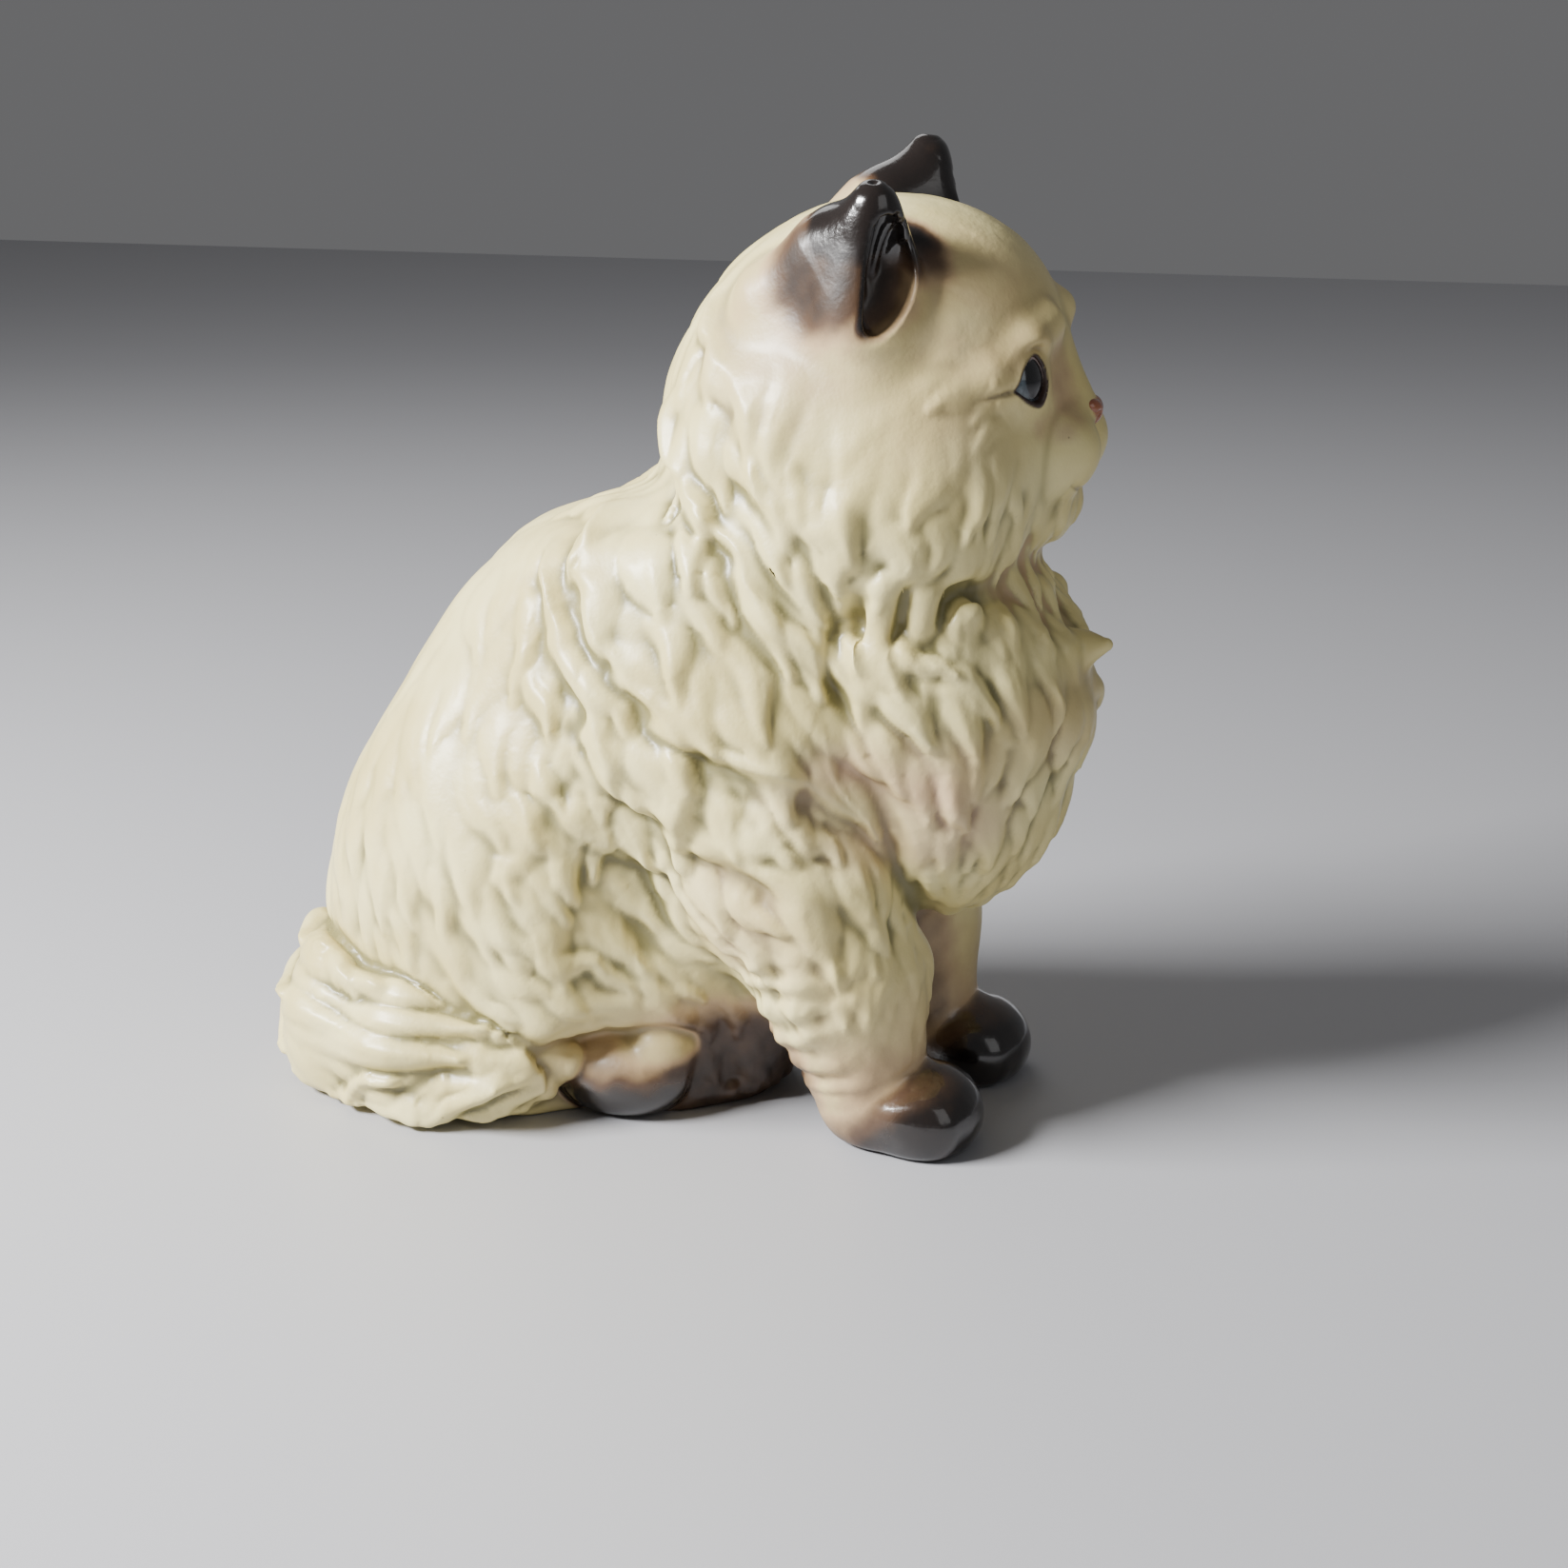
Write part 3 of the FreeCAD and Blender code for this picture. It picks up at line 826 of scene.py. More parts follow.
class Cells:
    """Finds the vertices in a box quickly."""

    def __init__(self, points):
        self.low = points.min(0) - 1
        key = np.floor((points - self.low) / BIN).astype(int)
        self.counts = key.max(0) + 2
        flat = (key[:, 0] * self.counts[1] + key[:, 1]) * self.counts[2] + key[:, 2]
        self.order = np.argsort(flat, kind="stable")
        self.sorted = flat[self.order]

    def inside(self, low, high):
        a = np.maximum(np.floor((low - self.low) / BIN).astype(int), 0)
        b = np.minimum(np.floor((high - self.low) / BIN).astype(int), self.counts - 1)
        if (b < a).any():
            return np.zeros(0, int)
        x, y = np.meshgrid(np.arange(a[0], b[0] + 1), np.arange(a[1], b[1] + 1), indexing="ij")
        column = (x.ravel() * self.counts[1] + y.ravel()) * self.counts[2]
        first = np.searchsorted(self.sorted, column + a[2])
        last = np.searchsorted(self.sorted, column + b[2] + 1)
        runs = [self.order[i:j] for i, j in zip(first, last) if j > i]
        return np.concatenate(runs) if runs else np.zeros(0, int)


def raise_locks(height, points, normals, cells, paths, ups, sizes, rng):
    """Each lock is a rounded ridge, low at its root and high at its tip, cut by a few strands."""
    for path, up, (_, width, tall) in zip(paths, ups, sizes):
        phase, strands = rng.uniform(0, 1), rng.choice((1.0, 1.5, 2.0))
        margin = width / 2 + 0.5
        ids = cells.inside(path.min(0) - margin, path.max(0) + margin)
        if not len(ids):
            continue
        k, along, gap, s = beside_path(points[ids], path)
        across = (gap * np.cross(up[k], along)).sum(1)
        beyond = (gap * along).sum(1)
        half = width / 2 * (1 - 0.7 * s**2.5) * (0.6 + 0.4 * smoothstep(0, 0.3, s))
        c = across / half
        edge = c**2 + (beyond / (0.35 * width)) ** 2
        facing = (normals[ids] * up[k]).sum(1) > 0.2
        close = np.abs((gap * up[k]).sum(1)) < 4
        rise = 0.12 + 0.88 * smoothstep(0, 0.7, s)
        comb = 1 - 0.06 * (1 + np.cos(2 * math.pi * (strands * c + phase))) * smoothstep(0.1, 0.4, s)
        value = tall * rise * np.clip(1 - edge, 0, 1) * comb
        grown = (edge < 1) & facing & close
        height[ids] = np.where(grown, np.maximum(height[ids], value), height[ids])


# The mane falls in layers. Each line is the lower edge of one, on the cat's side: side, fwd, height.
LAYERS = (
    ((12, 14, 146), (20, 16, 140), (24, 22, 132), (28, 27, 124), (30, 32, 115), (30, 39, 108), (29, 46, 102)),
    ((14, 5, 130), (22, 9, 120), (28, 15, 110), (32, 24, 103), (33, 34, 92), (33, 42, 83), (31, 52, 76)),
    (
        *((12, -6, 112), (22, -3, 104), (30, 0, 94), (33, 6, 86)),
        *((36, 14, 77), (36, 24, 71), (34, 35, 65), (30, 46, 61)),
    ),
    (
        *((18, -12, 104), (27, -10, 95), (32, -5, 84), (35, 3, 70)),
        *((36, 11, 61), (35, 20, 55), (35, 32, 50), (31, 44, 44)),
    ),
    ((34, -6, 62), (36, 0, 54), (35, 8, 46), (32, 18, 40), (30, 26, 36)),
)
LAYER_HEIGHTS = (1.3, 2.2, 2.4, 2.3, 1.4)
LAYER_REACH = 20
RING_GAP = 5.6  # between the folds at the back of a foreleg


def layer_height(points, normals):
    """The step at each layer's lower edge, and its slow rise above it."""
    total = np.zeros(len(points))
    mirrored = points.copy()
    mirrored[:, 0] = np.abs(points[:, 0])
    facing = normals.copy()
    facing[:, 0] *= np.sign(points[:, 0])
    uneven = 2.2 * waves(points, 18, SEED) + 0.8 * waves(points, 7, SEED + 1)
    for line, tall in zip(LAYERS, LAYER_HEIGHTS):
        path = np.array([spot(*s) for s in line])
        low, high = path.min(0) - LAYER_REACH, path.max(0) + LAYER_REACH
        ids = np.flatnonzero(np.all((mirrored > low) & (mirrored < high), axis=1))
        _, along, gap, s = beside_path(mirrored[ids], path)
        across = unit(np.cross(along, facing[ids]))
        across *= np.sign(across @ spot(0, 0.7, 0.7))[:, None]
        beyond = np.abs((gap * along).sum(1))
        d = (gap * across).sum(1) + uneven[ids]
        rise = smoothstep(-1.2, 3.0, d) * np.exp(-np.maximum(d - 3.5, 0) / 7)
        dip = 0.35 * np.exp(-(((d + 1.6) / 2.2) ** 2))
        ends = smoothstep(0, 0.12, s) * smoothstep(1, 0.82, s) * np.exp(-((beyond / 6) ** 2))
        ends *= smoothstep(0.1, 0.5, facing[ids][:, 0] + 0.3)
        total[ids] += tall * (rise - dip) * ends
    return total


def leg_rings(points, normals):
    """Folds round the back of the lower foreleg."""
    z, side, fwd = points[:, 2], np.abs(points[:, 0]), -points[:, 1]
    on_leg = smoothstep(8, 13, z) * smoothstep(44, 34, z)
    on_leg *= smoothstep(4, 9, side) * smoothstep(24, 32, fwd)
    behind = smoothstep(0.55, -0.35, -normals[:, 1])
    phase = z - 0.28 * (fwd - 40) + 1.0 * waves(points, 12, SEED + 2)
    return 0.55 * np.cos(2 * math.pi * phase / RING_GAP) * on_leg * behind


def hair_share(points):
    """1 where hair grows, and 0 on the face, the ears and the paws."""
    ph = to_head(points)
    q = (ph - spot(0, 68, 131)) / np.array([22, 17, 19])
    grown = smoothstep(0.85, 1.3, np.linalg.norm(q, axis=1))
    for name, side in SIDES:
        grown *= smoothstep(0.8, 4, ear_field(ph, name, side))
        grown *= smoothstep(0.6, 2.5, paw_field(points, name))
        grown *= smoothstep(0.4, 2.5, hind_paw_field(points, side))
        edge = [spot(side * s, f - r, h - r - 3) for s, f, h, r in SHELF]
        grown *= 0.35 + 0.65 * smoothstep(2, 6, chain(points, edge, [1] * len(SHELF)))
    return grown * smoothstep(0.5, 3.5, points[:, 2])


def fur(points, normals, edges, labels):
    """How far each vertex stands out."""
    rng = np.random.default_rng(SEED)
    cells = Cells(points)
    grown = hair_share(points)
    height = np.zeros(len(points))
    on_tail = labels == "tail"
    rooted = grown > HAIRLESS
    for allowed, guides in ((rooted & ~on_tail, hair_guides()), (rooted & on_tail, tail_guides())):
        spots, ways, table = guides
        for scale, tall in FUR_SCALES:
            sized = (spots, ways, table * np.array([LOCK_LONG * scale, LOCK_WIDE * scale, tall]))
            roots = scatter(points, allowed, sized, rng)
            paths, ups, sizes = grow(roots, sized, rng)
            raised = np.zeros(len(points))
            raise_locks(raised, points, normals, cells, paths, ups, sizes, rng)
            height += raised * allowed
    height = blur(height * grown + leg_rings(points, normals), edges, 3)
    height -= 0.5 * blur(np.maximum(height, 0), edges, 40)
    height += layer_height(points, normals) * grown * ~on_tail
    # hair lies flatter in the narrow valleys, where another surface is close
    room = smoothstep(2.0, 3.8, surface(points + 4 * normals))
    return height * np.minimum(room, blur(room, edges, 8))


# ---------------------------------------------------------------- painted masks
def spread(p, centre, radii, fade=0.6):
    """1 inside an ellipsoid, fading to 0 outside it."""
    k = np.linalg.norm((p - centre) / np.asarray(radii, float), axis=1)
    return smoothstep(1 + fade, 1 - fade * 0.5, k)


def paint_ear(lay, ph, name, side):
    """Black in the hollow and on the rear rim, brown behind it, and tan round the root."""
    a, b, t = ear_local(ph, name, side)
    scoop = ear_scoop(a, b, t)
    within = smoothstep(1.6, 0.2, scoop)
    inner = np.maximum(within * smoothstep(9, 14, t - 0.2 * a), 0.42 * within)
    rear_rim = smoothstep(-3, -5.5, a) * smoothstep(2.4, 0.6, scoop) * smoothstep(-1, 4, t)
    rim = smoothstep(3, 16, t) * spread(ph, EAR_ROOT[name] + spot(0, -1, 12), (11, 12, 18), 0.3)
    patch = spread(ph, spot(side * 24, 40, 153), (10, 10.5, 9.5), 0.75)
    lay("shade", inner, rear_rim, rim, 0.82 * patch)
    lay("gloss", inner, rear_rim, smoothstep(12, 19, t) * rim)
    lay("tan", 0.75 * spread(ph, EAR_ROOT[name] + spot(side, -12, 1), (11, 14, 14), 0.9))


def paint_eye(lay, ph, name, side):
    """Tan on the brow and temple, brown below and at the inner corner, and the dark line of the lids."""
    brow = spread(ph, spot(side * 15, 60, 145), (15, 13, 11), 0.9)
    temple = spread(ph, spot(side * 24, 55, 131), (10, 13, 12), 0.9)
    under = spread(ph, spot(side * 11, 71, 126.5), (5, 8, 3.2), 0.9)
    inner_corner = spread(ph, spot(side * 7.4, 73, 131.5), (3.6, 8, 6.5), 0.95)
    a, b, c = eye_local(ph, name, side)
    lid = smoothstep(0.55, 0.1, eye_opening(a, b)) * (c > 0) * smoothstep(12, 10, c)
    crease_line = from_line(a, b, (5.2, -0.7), (8.5, -1.2)) + 9 * (c < -3)
    lay("tan", 0.62 * brow, 0.4 * temple)
    lay("shade", 0.26 * under, 0.34 * inner_corner)
    lay("edge_line", lid, 0.4 * smoothstep(1.0, 0.1, crease_line))


def paint_foreleg(lay, points, fine, name, side):
    """Black toes, brown up to the ankle, and tan further up."""
    height = points[:, 2]
    fwd = PAW[name][1] - points[:, 1]
    low = smoothstep(15, 3, height - 0.32 * fwd + 1.2 * fine)
    toes = smoothstep(-10, 8, fwd + 1.5 * fine)
    on_paw = smoothstep(2.0, -0.3, paw_field(points, name))
    on_leg = smoothstep(2.5, 0.2, leg_field(points, side))
    ankle = smoothstep(30, 11, height + 2 * fine) * smoothstep(33, 50, -points[:, 1])
    lay("shade", on_paw * np.clip(0.18 + 0.47 * low + 0.45 * toes, 0, 1), 0.4 * on_leg * ankle)
    lay("gloss", on_paw * toes)
    lay("tan", 0.6 * on_leg * smoothstep(42, 18, height) * smoothstep(32, 46, -points[:, 1]))


def paint_hind_paw(lay, points, fine, side):
    """A black underside, a paler knob, and brown paint with painted shade in the pit between the haunch and
    the foreleg.
    """
    height = points[:, 2]
    on_hind = smoothstep(1.8, 0.0, hind_paw_field(points, side))
    knob = spread(points, spot(side * 21, 9, 17), (7.5, 7, 6), 0.5)
    dark = smoothstep(13, 3.5, height + 1.2 * fine)
    # the pit: brown paint and painted shade in the recess
    pit_brown_and_shade = spread(points, spot(side * 18, 23, 8), (21, 15, 20), 0.6)
    lay("shade", on_hind * (1 - 0.75 * knob) * (0.36 + 0.64 * dark))
    lay("shade", 0.78 * pit_brown_and_shade * smoothstep(30, 12, height) * (1 - on_hind * knob))
    lay("gloss", on_hind * dark)
    lay("tan", 0.6 * spread(points, spot(side * 20, 2, 12), (14, 19, 12), 0.7))


def paint(points, crease):
    """The airbrushed colours, with painted shade in the creases, under the chin, between the forelegs and in
    the pits, as values per vertex: shade runs from tan through brown to black.
    """
    ph = to_head(points)
    patchy = 0.5 + 0.5 * waves(points, 13, SEED + 3)
    fine = waves(points, 5, SEED + 4)
    keys = ("shade", "tan", "blush", "crease", "edge_line", "nose_paint", "gloss")
    masks = {key: np.zeros(len(points)) for key in keys}

    def lay(key, *coats):
        for coat in coats:
            masks[key] = np.maximum(masks[key], coat)

    for name, side in SIDES:
        paint_ear(lay, ph, name, side)
        paint_eye(lay, ph, name, side)
        paint_foreleg(lay, points, fine, name, side)
        paint_hind_paw(lay, points, fine, side)
        lay("blush", spread(points, spot(side * 28, 54, 64), (12, 15, 9), 0.9))
        lay("blush", 0.5 * spread(points, spot(side * 32, 30, 42), (9, 10, 9), 0.9))
    # painted shade between the forelegs and under the chin, where the creases are
    shade_between_legs = spread(points, spot(0, 40, 20), (14, 20, 22), 0.5) * smoothstep(0, 0.4, crease + 0.3)
    shade_under_chin = spread(points, spot(0, 74, 99), (20, 10, 8), 0.7) * smoothstep(0.1, 0.8, crease)
    lay("shade", 0.55 * shade_between_legs, 0.34 * shade_under_chin)
    lay("tan", 0.5 * spread(points, spot(-4, 74, 76), (15, 8, 7), 0.8))
    mouth = smoothstep(0.6, 0.1, mouth_gap(ph)) * smoothstep(MOUTH_HALF, 6.5, np.abs(ph[:, 0]))
    lay("edge_line", 0.6 * mouth * (ph[:, 1] < -MOUTH_FWD))
    lay("nose_paint", smoothstep(0.35, -0.05, ball(ph, NOSE, (2.8, 2.3, 2.1))))
    # crease: pooled glaze and painted shade in the hollows
    lay("crease", crease)
    shade = masks["shade"]
    masks["shade"] = np.clip(shade + 0.05 * fine * (shade > 0.05), 0, 1)
    masks["tan"] = np.clip(masks["tan"] * (0.75 + 0.4 * patchy), 0, 1)
    masks["blush"] = np.clip(masks["blush"] * (0.35 + 0.6 * patchy), 0, 1)
    return masks


# ---------------------------------------------------------------- materials
def node_tree(name):
    material = bpy.data.materials.new(name)
    material.use_nodes = True
    return material, material.node_tree, material.node_tree.nodes["Principled BSDF"]


def add(tree, kind, **settings):
    node = tree.nodes.new(kind)
    for key, value in settings.items():
        setattr(node, key, value)
    return node


def mask(tree, name):
    return add(tree, "ShaderNodeAttribute", attribute_name=name).outputs["Fac"]


def noise(tree, scale, detail=2.0, rough=0.5):
    """Noise over the object's own metres."""
    where = add(tree, "ShaderNodeTexCoord")
    node = add(tree, "ShaderNodeTexNoise")
    tree.links.new(where.outputs["Object"], node.inputs["Vector"])
    node.inputs["Scale"].default_value = scale
    node.inputs["Detail"].default_value = detail
    node.inputs["Roughness"].default_value = rough
    return node.outputs["Fac"]


def ramp(tree, value, low, high, out_low=0.0, out_high=1.0):
    node = add(tree, "ShaderNodeMapRange", interpolation_type="SMOOTHSTEP")
    tree.links.new(value, node.inputs["Value"])
    node.inputs["From Min"].default_value = low
    node.inputs["From Max"].default_value = high
    node.inputs["To Min"].default_value = out_low
    node.inputs["To Max"].default_value = out_high
    return node.outputs["Result"]


def maths(tree, operation, a, b):
    node = add(tree, "ShaderNodeMath", operation=operation)
    for socket, value in zip(node.inputs, (a, b)):
        if isinstance(value, (int, float)):
            socket.default_value = value
        else:
            tree.links.new(value, socket)
    return node.outputs[0]


def times(tree, a, b):
    return maths(tree, "MULTIPLY", a, b)


def mix(tree, share, first, second):
    """A colour between first and second; each is a socket or a linear colour."""
    node = add(tree, "ShaderNodeMix", data_type="RGBA")
    tree.links.new(share, node.inputs[0])
    for socket, value in ((node.inputs[6], first), (node.inputs[7], second)):
        if isinstance(value, tuple):
            socket.default_value = (*value, 1)
        else:
            tree.links.new(value, socket)
    return node.outputs[2]


def bump(tree, shader, height, strength, distance):
    node = add(tree, "ShaderNodeBump")
    node.inputs["Strength"].default_value = strength
    node.inputs["Distance"].default_value = distance
    tree.links.new(height, node.inputs["Height"])
    tree.links.new(node.outputs["Normal"], shader.inputs["Normal"])


CREAM = (0.62, 0.52, 0.215)
IVORY = (0.76, 0.67, 0.32)
# the dark green of glaze pooled in the creases, with painted shade
POOLED_GLAZE_AND_SHADE_GREEN = (0.14, 0.125, 0.045)
TAN = (0.46, 0.32, 0.17)
PINK_TAN = (0.48, 0.29, 0.20)
BROWN = (0.080, 0.043, 0.022)
SEAL = (0.010, 0.007, 0.006)
LINE_BROWN = (0.03, 0.012, 0.006)
SPECK_BROWN = (0.10, 0.06, 0.03)
TERRACOTTA = (0.34, 0.12, 0.055)
DEEP_TERRACOTTA = (0.30, 0.085, 0.035)
NOSTRIL_BROWN = (0.04, 0.012, 0.008)
IRIS_DARK = (0.05, 0.07, 0.085)
IRIS_PALE = (0.15, 0.20, 0.23)
IRIS_EDGE = (0.012, 0.014, 0.02)
PUPIL_BLACK = (0.004, 0.004, 0.005)
# pale pink of the inner rim, partly a painted highlight
RIM_PINK_AND_HIGHLIGHT = (0.72, 0.58, 0.55)
CLAY = (0.62, 0.53, 0.41)
STAINED_CLAY = (0.48, 0.38, 0.27)
CLAY_GRAIN = (0.33, 0.25, 0.18)
PINHOLES_PER_METRE = 110


def painted_glaze():
    """Cream glaze over airbrushed browns, pooled greenish and darkened by painted shade in the creases, with
    pinholes.
    """
    material, tree, shader = node_tree("painted_glaze")
    soft = noise(tree, 55, 3)
    fine = noise(tree, 260, 3, 0.6)
    shade = maths(tree, "ADD", mask(tree, "shade"), ramp(tree, fine, 0.0, 1.0, -0.05, 0.05))
    gloss = mask(tree, "gloss")
    where = add(tree, "ShaderNodeTexCoord")
    specks = add(tree, "ShaderNodeTexVoronoi")
    specks.inputs["Scale"].default_value = PINHOLES_PER_METRE
    tree.links.new(where.outputs["Object"], specks.inputs["Vector"])
    pinhole = ramp(tree, specks.outputs["Distance"], 0.028, 0.014)
    coats = (
        # the creases: pooled glaze and painted shade
        (times(tree, mask(tree, "crease"), ramp(tree, soft, 0.2, 0.75, 0.75, 1.0)), POOLED_GLAZE_AND_SHADE_GREEN),
        (times(tree, mask(tree, "tan"), ramp(tree, fine, 0.2, 0.8, 0.7, 1.0)), TAN),
        (times(tree, mask(tree, "blush"), 0.75), PINK_TAN),
        (ramp(tree, shade, 0.05, 0.40), TAN),
        (ramp(tree, shade, 0.28, 0.68), BROWN),
        (ramp(tree, shade, 0.60, 0.95), SEAL),
        (mask(tree, "edge_line"), LINE_BROWN),
        (mask(tree, "nose_paint"), TERRACOTTA),
        (times(tree, pinhole, ramp(tree, soft, 0.5, 0.6, 0.0, 0.8)), SPECK_BROWN),
    )
    colour = mix(tree, ramp(tree, soft, 0.3, 0.7), CREAM, IVORY)
    for share, over in coats:
        colour = mix(tree, share, colour, over)
    tree.links.new(colour, shader.inputs["Base Color"])
    uneven = ramp(tree, fine, 0.0, 1.0, -0.05, 0.06)
    rough = maths(tree, "ADD", ramp(tree, gloss, 0.2, 0.9, 0.44, 0.20), uneven)
    tree.links.new(rough, shader.inputs["Roughness"])
    tree.links.new(ramp(tree, gloss, 0.2, 0.9, 0.20, 0.85), shader.inputs["Coat Weight"])
    tree.links.new(ramp(tree, gloss, 0.2, 0.9, 0.22, 0.06), shader.inputs["Coat Roughness"])
    ripple = maths(tree, "ADD", noise(tree, 420, 2), times(tree, noise(tree, 1500, 2), 0.35))
    bump(tree, shader, ripple, 0.25, 0.0004)
    return material


def eye_enamel():
    """A black pupil in a blue-grey iris, streaked outwards, with a pale rim at the inner corner that is
    partly a painted highlight on the wet edge.
    """
    material, tree, shader = node_tree("eye_enamel")
    streaks = noise(tree, 900, 3, 0.6)
    iris = mix(tree, ramp(tree, streaks, 0.3, 0.7), IRIS_DARK, IRIS_PALE)
    iris = mix(tree, mask(tree, "iris_edge"), iris, IRIS_EDGE)
    colour = mix(tree, mask(tree, "pupil"), iris, PUPIL_BLACK)
    colour = mix(tree, mask(tree, "pale_rim_and_highlight"), colour, RIM_PINK_AND_HIGHLIGHT)
    tree.links.new(colour, shader.inputs["Base Color"])
    tree.links.new(ramp(tree, streaks, 0.0, 1.0, 0.10, 0.18), shader.inputs["Roughness"])
    shader.inputs["Coat Weight"].default_value = 1.0
    shader.inputs["Coat Roughness"].default_value = 0.03
    bump(tree, shader, noise(tree, 600, 2), 0.1, 0.0002)
    return material


def bisque():
    """Bare fired clay, sandy and a little stained."""
    material, tree, shader = node_tree("bisque")
    grain = noise(tree, 900, 4, 0.7)
    stain = noise(tree, 45, 3)
    colour = mix(tree, ramp(tree, stain, 0.35, 0.7), CLAY, STAINED_CLAY)
    colour = mix(tree, ramp(tree, grain, 0.55, 0.75, 0.0, 0.5), colour, CLAY_GRAIN)
    tree.links.new(colour, shader.inputs["Base Color"])
    tree.links.new(ramp(tree, grain, 0.2, 0.8, 0.75, 0.95), shader.inputs["Roughness"])
    bump(tree, shader, grain, 0.5, 0.0003)
    return material


# ---------------------------------------------------------------- the skin, cut into its castings
NODES = ["body_shell", "chest_ruff", "tail", "head_shell"]
NODES += [f"{name}_{part}" for name, _ in SIDES for part in ("foreleg", "front_paw", "hind_paw", "ear")]


OWN_VOTE = 1.1  # what a face's own label counts against its neighbours'
CAP_DEPTH = 2.0  # how far a cut piece's closing fan is sunk


def labels_at(points):
    """The number in NODES of the casting that each point belongs to."""
    found = fields(points)
    return np.stack([found[n] for n in NODES]).argmin(0)


def tidy_labels(labels, pairs, rounds=6):
    """Straightens the borders between castings and gives stray islands to their neighbours."""
    count = len(labels)
    both = np.concatenate([pairs, pairs[:, ::-1]])
    for _ in range(rounds):
        votes = np.zeros((count, len(NODES)))
        np.add.at(votes, (both[:, 0], labels[both[:, 1]]), 1)
        votes[np.arange(count), labels] += OWN_VOTE
        labels = votes.argmax(1)
    for _ in range(4):
        group = np.arange(count)
        same = pairs[labels[pairs[:, 0]] == labels[pairs[:, 1]]]
        while True:
            before = group.copy()
            least = np.minimum(group[same[:, 0]], group[same[:, 1]])
            np.minimum.at(group, same[:, 0], least)
            np.minimum.at(group, same[:, 1], least)
            group = group[group]
            if (group == before).all():
                break
        main = {label: np.bincount(group[labels == label]).argmax() for label in np.unique(labels)}
        stray = group != np.array([main.get(i, -1) for i in range(len(NODES))])[labels]
        if not stray.any():
            break
        votes = np.zeros((count, len(NODES)))
        edge = both[stray[both[:, 0]] & ~stray[both[:, 1]]]
        np.add.at(votes, (group[edge[:, 0]], labels[edge[:, 1]]), 1)
        for g in np.unique(group[stray]):
            if votes[g].any():
                labels[group == g] = votes[g].argmax()
    return labels


def closing_fans(faces, points, ups):
    """Triangles that close a piece where it was cut from its neighbours."""
    # a dict and not a set, because it keeps its order
    directed = {(a, b): True for face in faces for a, b in zip(face, face[1:] + face[:1])}
    border = {}
    for a, b in directed:
        if (b, a) not in directed:
            border.setdefault(b, []).append(a)
    new_points, triangles = [], []
    while border:
        start = next(iter(border))
        loop = [start]
        while True:
            here = loop[-1]
            if here not in border:
                break
            following = border[here].pop()
            if not border[here]:
                del border[here]
            if following == start:
                break
            loop.append(following)
        if len(loop) < 3:
            continue
        middle = points[loop].mean(0) - unit(ups[loop].mean(0)) * CAP_DEPTH
        centre = len(points) + len(new_points)
        new_points.append(middle)
        triangles += [[a, b, centre] for a, b in zip(loop, loop[1:] + loop[:1])]
    return new_points, triangles


def cut_pieces(points, faces, labels, ups, masks, glaze):
    """One closed piece for each casting."""
    for index, name in enumerate(NODES):
        chosen = [faces[i] for i in np.flatnonzero(labels == index)]
        extra, caps = closing_fans(chosen, points, ups)
        used = np.unique([corner for face in chosen + caps for corner in face])
        everywhere = np.concatenate([points, np.array(extra).reshape(-1, 3)])
        number = np.full(len(everywhere), -1)
        number[used] = np.arange(len(used))
        flat = [number[f].tolist() for f in chosen + caps]
        piece = mesh_object(f"{name}_glazed", everywhere[used], flat)
        normals = np.concatenate([ups, np.tile([0.0, 0.0, -1.0], (len(extra), 1))])[used]
        piece.data.normals_split_custom_set_from_vertices(normals.tolist())
        unpainted = np.zeros(len(extra))
        put_masks(piece, {key: np.concatenate([v, unpainted])[used] for key, v in masks.items()})
        piece.data.materials.append(glaze)
        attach(piece, "root")
        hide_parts(name)


EYE_ZONE = 9.5  # radii of the balls in which the faces are split once more
EAR_ZONE = 15.0
MUZZLE_ZONE = 12.0


def smooth_form():
    """The glazed surface without its fur, with finer faces at the eyes, the ears and the muzzle."""
    points, quads = first_mesh()
    points, quads = split_quads(points, quads)
    edges, _ = edges_of(quads)
    points = relax(points, edges)
    points = settle(points, surface, 2)
    points = relax(points, edges, 0.3)
    points = settle(points, surface, 1)
    whole = mesh_object("whole", points, quads.tolist())
    zones = [(from_head(EYE[n] + eye_axes(s)[2] * 6), EYE_ZONE) for n, s in SIDES]
    zones += [(from_head(EAR_ROOT[n] + ear_axes(s)[2] * 11), EAR_ZONE) for n, s in SIDES]
    zones.append((from_head(spot(0, 77, 121)), MUZZLE_ZONE))
    refine(whole.data, zones)
    return whole


def crease_pooling_and_shade(points, ups, edges):
    """0 on ridges, rising to 1 in the hollows, where the glaze pools and painted shade darkens them."""
    smooth = blur_points(points, edges, 14)
    wider = blur_points(smooth, edges, 40)
    hollow = ((smooth - points) * ups).sum(1) + 0.5 * ((wider - smooth) * ups).sum(1)
    return smoothstep(-0.08, 0.42, hollow)


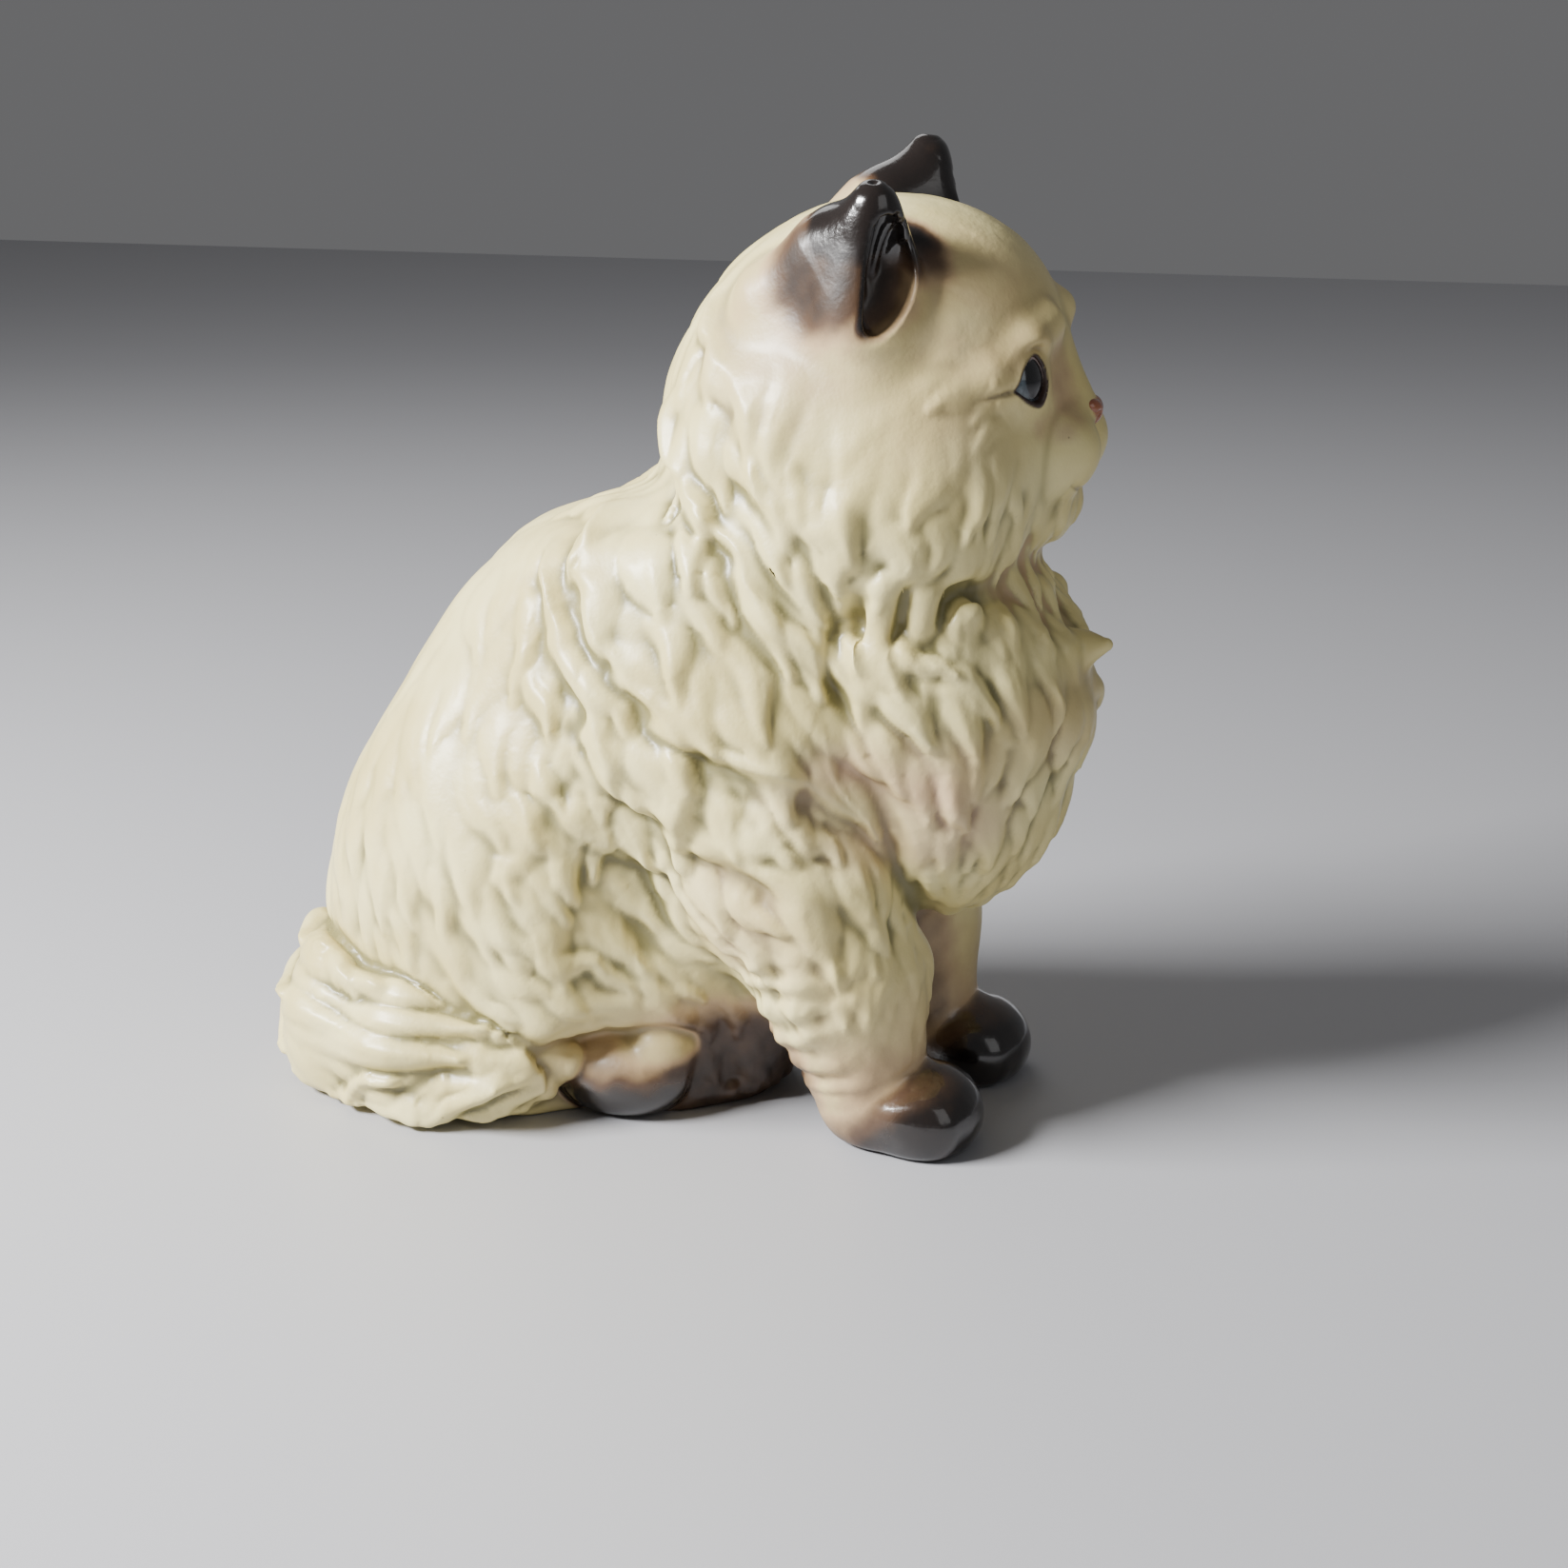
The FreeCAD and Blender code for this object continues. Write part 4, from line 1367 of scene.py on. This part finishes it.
def skin():
    """The whole glazed surface: smooth form, then fur, then paint, then cut into castings."""
    whole = smooth_form()
    mesh = whole.data
    points = read(mesh.vertices, "co", 3) / MM
    edges = read(mesh.edges, "vertices", 2, int)
    corners = read(mesh.loops, "vertex_index", 1, int)
    corner_edges = read(mesh.loops, "edge_index", 1, int)
    starts = read(mesh.polygons, "loop_start", 1, int)
    totals = read(mesh.polygons, "loop_total", 1, int)
    points = settle(points, surface, 1)
    ups = move_vertices(mesh, points)
    owner = np.repeat(np.arange(len(starts)), totals)  # the face that each corner is in
    pairs = owner[np.argsort(corner_edges, kind="stable")].reshape(-1, 2)  # the two faces at each edge
    labels = tidy_labels(labels_at(face_centres(points, corners, starts, totals)), pairs)
    at_vertex = np.empty(len(points), int)
    at_vertex[corners] = labels[owner]
    raised = fur(points, ups, edges, np.array(NODES)[at_vertex])
    points = points + ups * raised[:, None]
    points[:, 2] = np.maximum(points[:, 2], 0.0)
    ups = move_vertices(mesh, points)
    masks = paint(points, crease_pooling_and_shade(points, ups, edges))
    faces = [f.tolist() for f in np.split(corners, starts[1:])]
    bpy.data.objects.remove(whole)
    cut_pieces(points, faces, labels, ups, masks, painted_glaze())


# ---------------------------------------------------------------- eyes and nose
def dome(rings, segments, shape, back):
    """A cap closed by a fan to back: shape(turn, share) gives each point, share 0 in the middle and
    1 at the rim."""
    points = [shape(0.0, 0.0)]
    for ring in range(1, rings + 1):
        for k in range(segments):
            points.append(shape(2 * math.pi * k / segments, ring / rings))
    faces = [[0, 1 + k, 1 + (k + 1) % segments] for k in range(segments)]
    for ring in range(rings - 1):
        a, b = 1 + ring * segments, 1 + (ring + 1) * segments
        faces += [[a + k, b + k, b + (k + 1) % segments, a + (k + 1) % segments] for k in range(segments)]
    rim = 1 + (rings - 1) * segments
    faces += [[rim + k, len(points), rim + (k + 1) % segments] for k in range(segments)]
    return np.array([*points, np.array(back, float)]), faces


def eye_shape(turn, share):
    angle = share * math.radians(72)
    flat = math.sin(angle) * EYE_RADIUS
    return np.array([flat * math.cos(turn), flat * math.sin(turn), math.cos(angle) * EYE_RADIUS])


def eyes():
    enamel = eye_enamel()
    for name, side in SIDES:
        axes = np.array(eye_axes(side))
        local, faces = dome(70, 120, eye_shape, (0, 0, 1))
        if np.linalg.det(axes) < 0:
            faces = [f[::-1] for f in faces]
        eye = mesh_object(f"{name}_eye_enamel", from_head(EYE[name] + local @ axes), faces)
        a, b = local[:, 0] / EYE_SIZE, local[:, 1] / EYE_SIZE
        pupil = np.hypot((a + 1.2) / 3.6, (b - 1.3) / 4.7)
        iris = np.hypot((a + 0.3) / 5.2, (b - 0.1) / 5.2)
        opening = eye_opening(local[:, 0], local[:, 1])
        # the pale rim at the inner corner, partly a painted highlight along the wet edge
        rim = smoothstep(-0.62, -0.42, opening) * smoothstep(0.5, -1.5, a) * smoothstep(0.3, 0.0, opening)
        put_masks(eye, {
            "pupil": smoothstep(1.04, 0.94, pupil),
            "iris_edge": np.maximum(smoothstep(0.78, 1.0, iris), 0.6 * smoothstep(1.35, 1.0, pupil)),
            "pale_rim_and_highlight": rim,
        })
        eye.data.materials.append(enamel)
        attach(eye, "root")
        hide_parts(f"{name}_eye")


def nostrils(x, z):
    """1 in the middle of each nostril, fading out round it."""
    return sum(np.exp(-(((x - s * 1.4) / 0.5) ** 2 + ((z + 0.4) / 0.45) ** 2)) for s in (-1, 1))


def nose_shape(turn, share):
    angle = share * math.radians(95)
    flat = math.sin(angle)
    triangle = 1 - 0.16 * math.cos(3 * turn + math.pi / 2)
    x = 2.9 * flat * math.cos(turn) * triangle
    z = 2.5 * flat * math.sin(turn) * triangle
    return np.array([x, 0.6 * nostrils(x, z) - 2.4 * math.cos(angle), z])


def nose_enamel():
    material, tree, shader = node_tree("nose_enamel")
    patches = noise(tree, 700, 3)
    colour = mix(tree, ramp(tree, patches, 0.3, 0.7), TERRACOTTA, DEEP_TERRACOTTA)
    colour = mix(tree, times(tree, mask(tree, "nostril"), 0.85), colour, NOSTRIL_BROWN)
    tree.links.new(colour, shader.inputs["Base Color"])
    tree.links.new(ramp(tree, patches, 0.0, 1.0, 0.18, 0.30), shader.inputs["Roughness"])
    shader.inputs["Coat Weight"].default_value = 0.8
    shader.inputs["Coat Roughness"].default_value = 0.06
    bump(tree, shader, noise(tree, 1800, 2), 0.2, 0.0002)
    return material


def nose():
    """The nose leather: a rounded triangle with two nostrils, painted terracotta."""
    local, faces = dome(48, 96, nose_shape, (0, 1.5, 0))
    piece = mesh_object("nose_leather", from_head(NOSE + local), [f[::-1] for f in faces])
    put_masks(piece, {"nostril": nostrils(local[:, 0], local[:, 2])})
    piece.data.materials.append(nose_enamel())
    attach(piece, "root")
    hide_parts("nose")


def base():
    """The CAD base slab stays, in bare clay."""
    for obj in bpy.data.objects:
        if obj.name.startswith("base_plate") and obj.type == "MESH":
            obj.data.materials.clear()
            obj.data.materials.append(bisque())


skin()
eyes()
nose()
base()


# ---------------------------------------------------------------- floor, light and camera
# All in metres and watts.
FLOOR_HALF = 1.6
FLOOR_GREY = (0.42, 0.42, 0.44, 1)
LIT_MIDDLE = (0, -0.01, 0.08)
KEY_PLACE = (-0.42, 0.50, 0.50)  # of the middle one of three
KEY_STEP = 0.10
KEY_POWER = 8.5
WORLD_GREY = (0.78, 0.78, 0.8, 1)
WORLD_STRENGTH = 0.18
CAMERA_PLACE = (-0.4567, -0.1736, 0.192)
CAMERA_LOOK = (0.9158, 0.2976, -0.2698)
CAMERA_LENS = 64.1


def floor_paint():
    material = bpy.data.materials.new("floor_paint")
    material.use_nodes = True
    material.node_tree.nodes["Principled BSDF"].inputs["Base Color"].default_value = FLOOR_GREY
    return material


def stage():
    r = FLOOR_HALF
    mesh = bpy.data.meshes.new("floor")
    mesh.from_pydata([(-r, -r, 0), (r, -r, 0), (r, r, 0), (-r, r, 0)], [], [(0, 1, 2, 3)])
    floor = bpy.data.objects.new("floor", mesh)
    bpy.context.scene.collection.objects.link(floor)
    mesh.materials.append(floor_paint())


def area_light(name, place, side, power):
    """A square light that looks at the figurine."""
    data = bpy.data.lights.new(name, "AREA")
    data.shape = "RECTANGLE"
    data.size, data.size_y = side, side
    data.energy = power
    light = bpy.data.objects.new(name, data)
    light.location = place
    bpy.context.scene.collection.objects.link(light)
    direction = Vector(LIT_MIDDLE) - light.location
    light.rotation_euler = direction.to_track_quat("-Z", "Y").to_euler()


def lights():
    x, y, z = KEY_PLACE
    for step in (-1, 0, 1):
        place = (x + KEY_STEP * step, y + KEY_STEP * step, z)
        area_light(f"key_{step + 2}", place, 0.14, KEY_POWER)
    area_light("fill", (-0.40, -0.80, 0.45), 0.6, 0.9)
    area_light("rim", (0.5, 0.3, 0.6), 0.4, 0.8)
    world = bpy.data.worlds.new("studio")
    bpy.context.scene.world = world
    world.use_nodes = True
    background = world.node_tree.nodes["Background"]
    background.inputs["Color"].default_value = WORLD_GREY
    background.inputs["Strength"].default_value = WORLD_STRENGTH


def camera():
    data = bpy.data.cameras.new("camera")
    data.sensor_width = 36
    data.lens = CAMERA_LENS
    view = bpy.data.objects.new("camera", data)
    view.location = CAMERA_PLACE
    view.rotation_euler = Vector(CAMERA_LOOK).to_track_quat("-Z", "Y").to_euler()
    bpy.context.scene.collection.objects.link(view)
    bpy.context.scene.camera = view


stage()
lights()
camera()
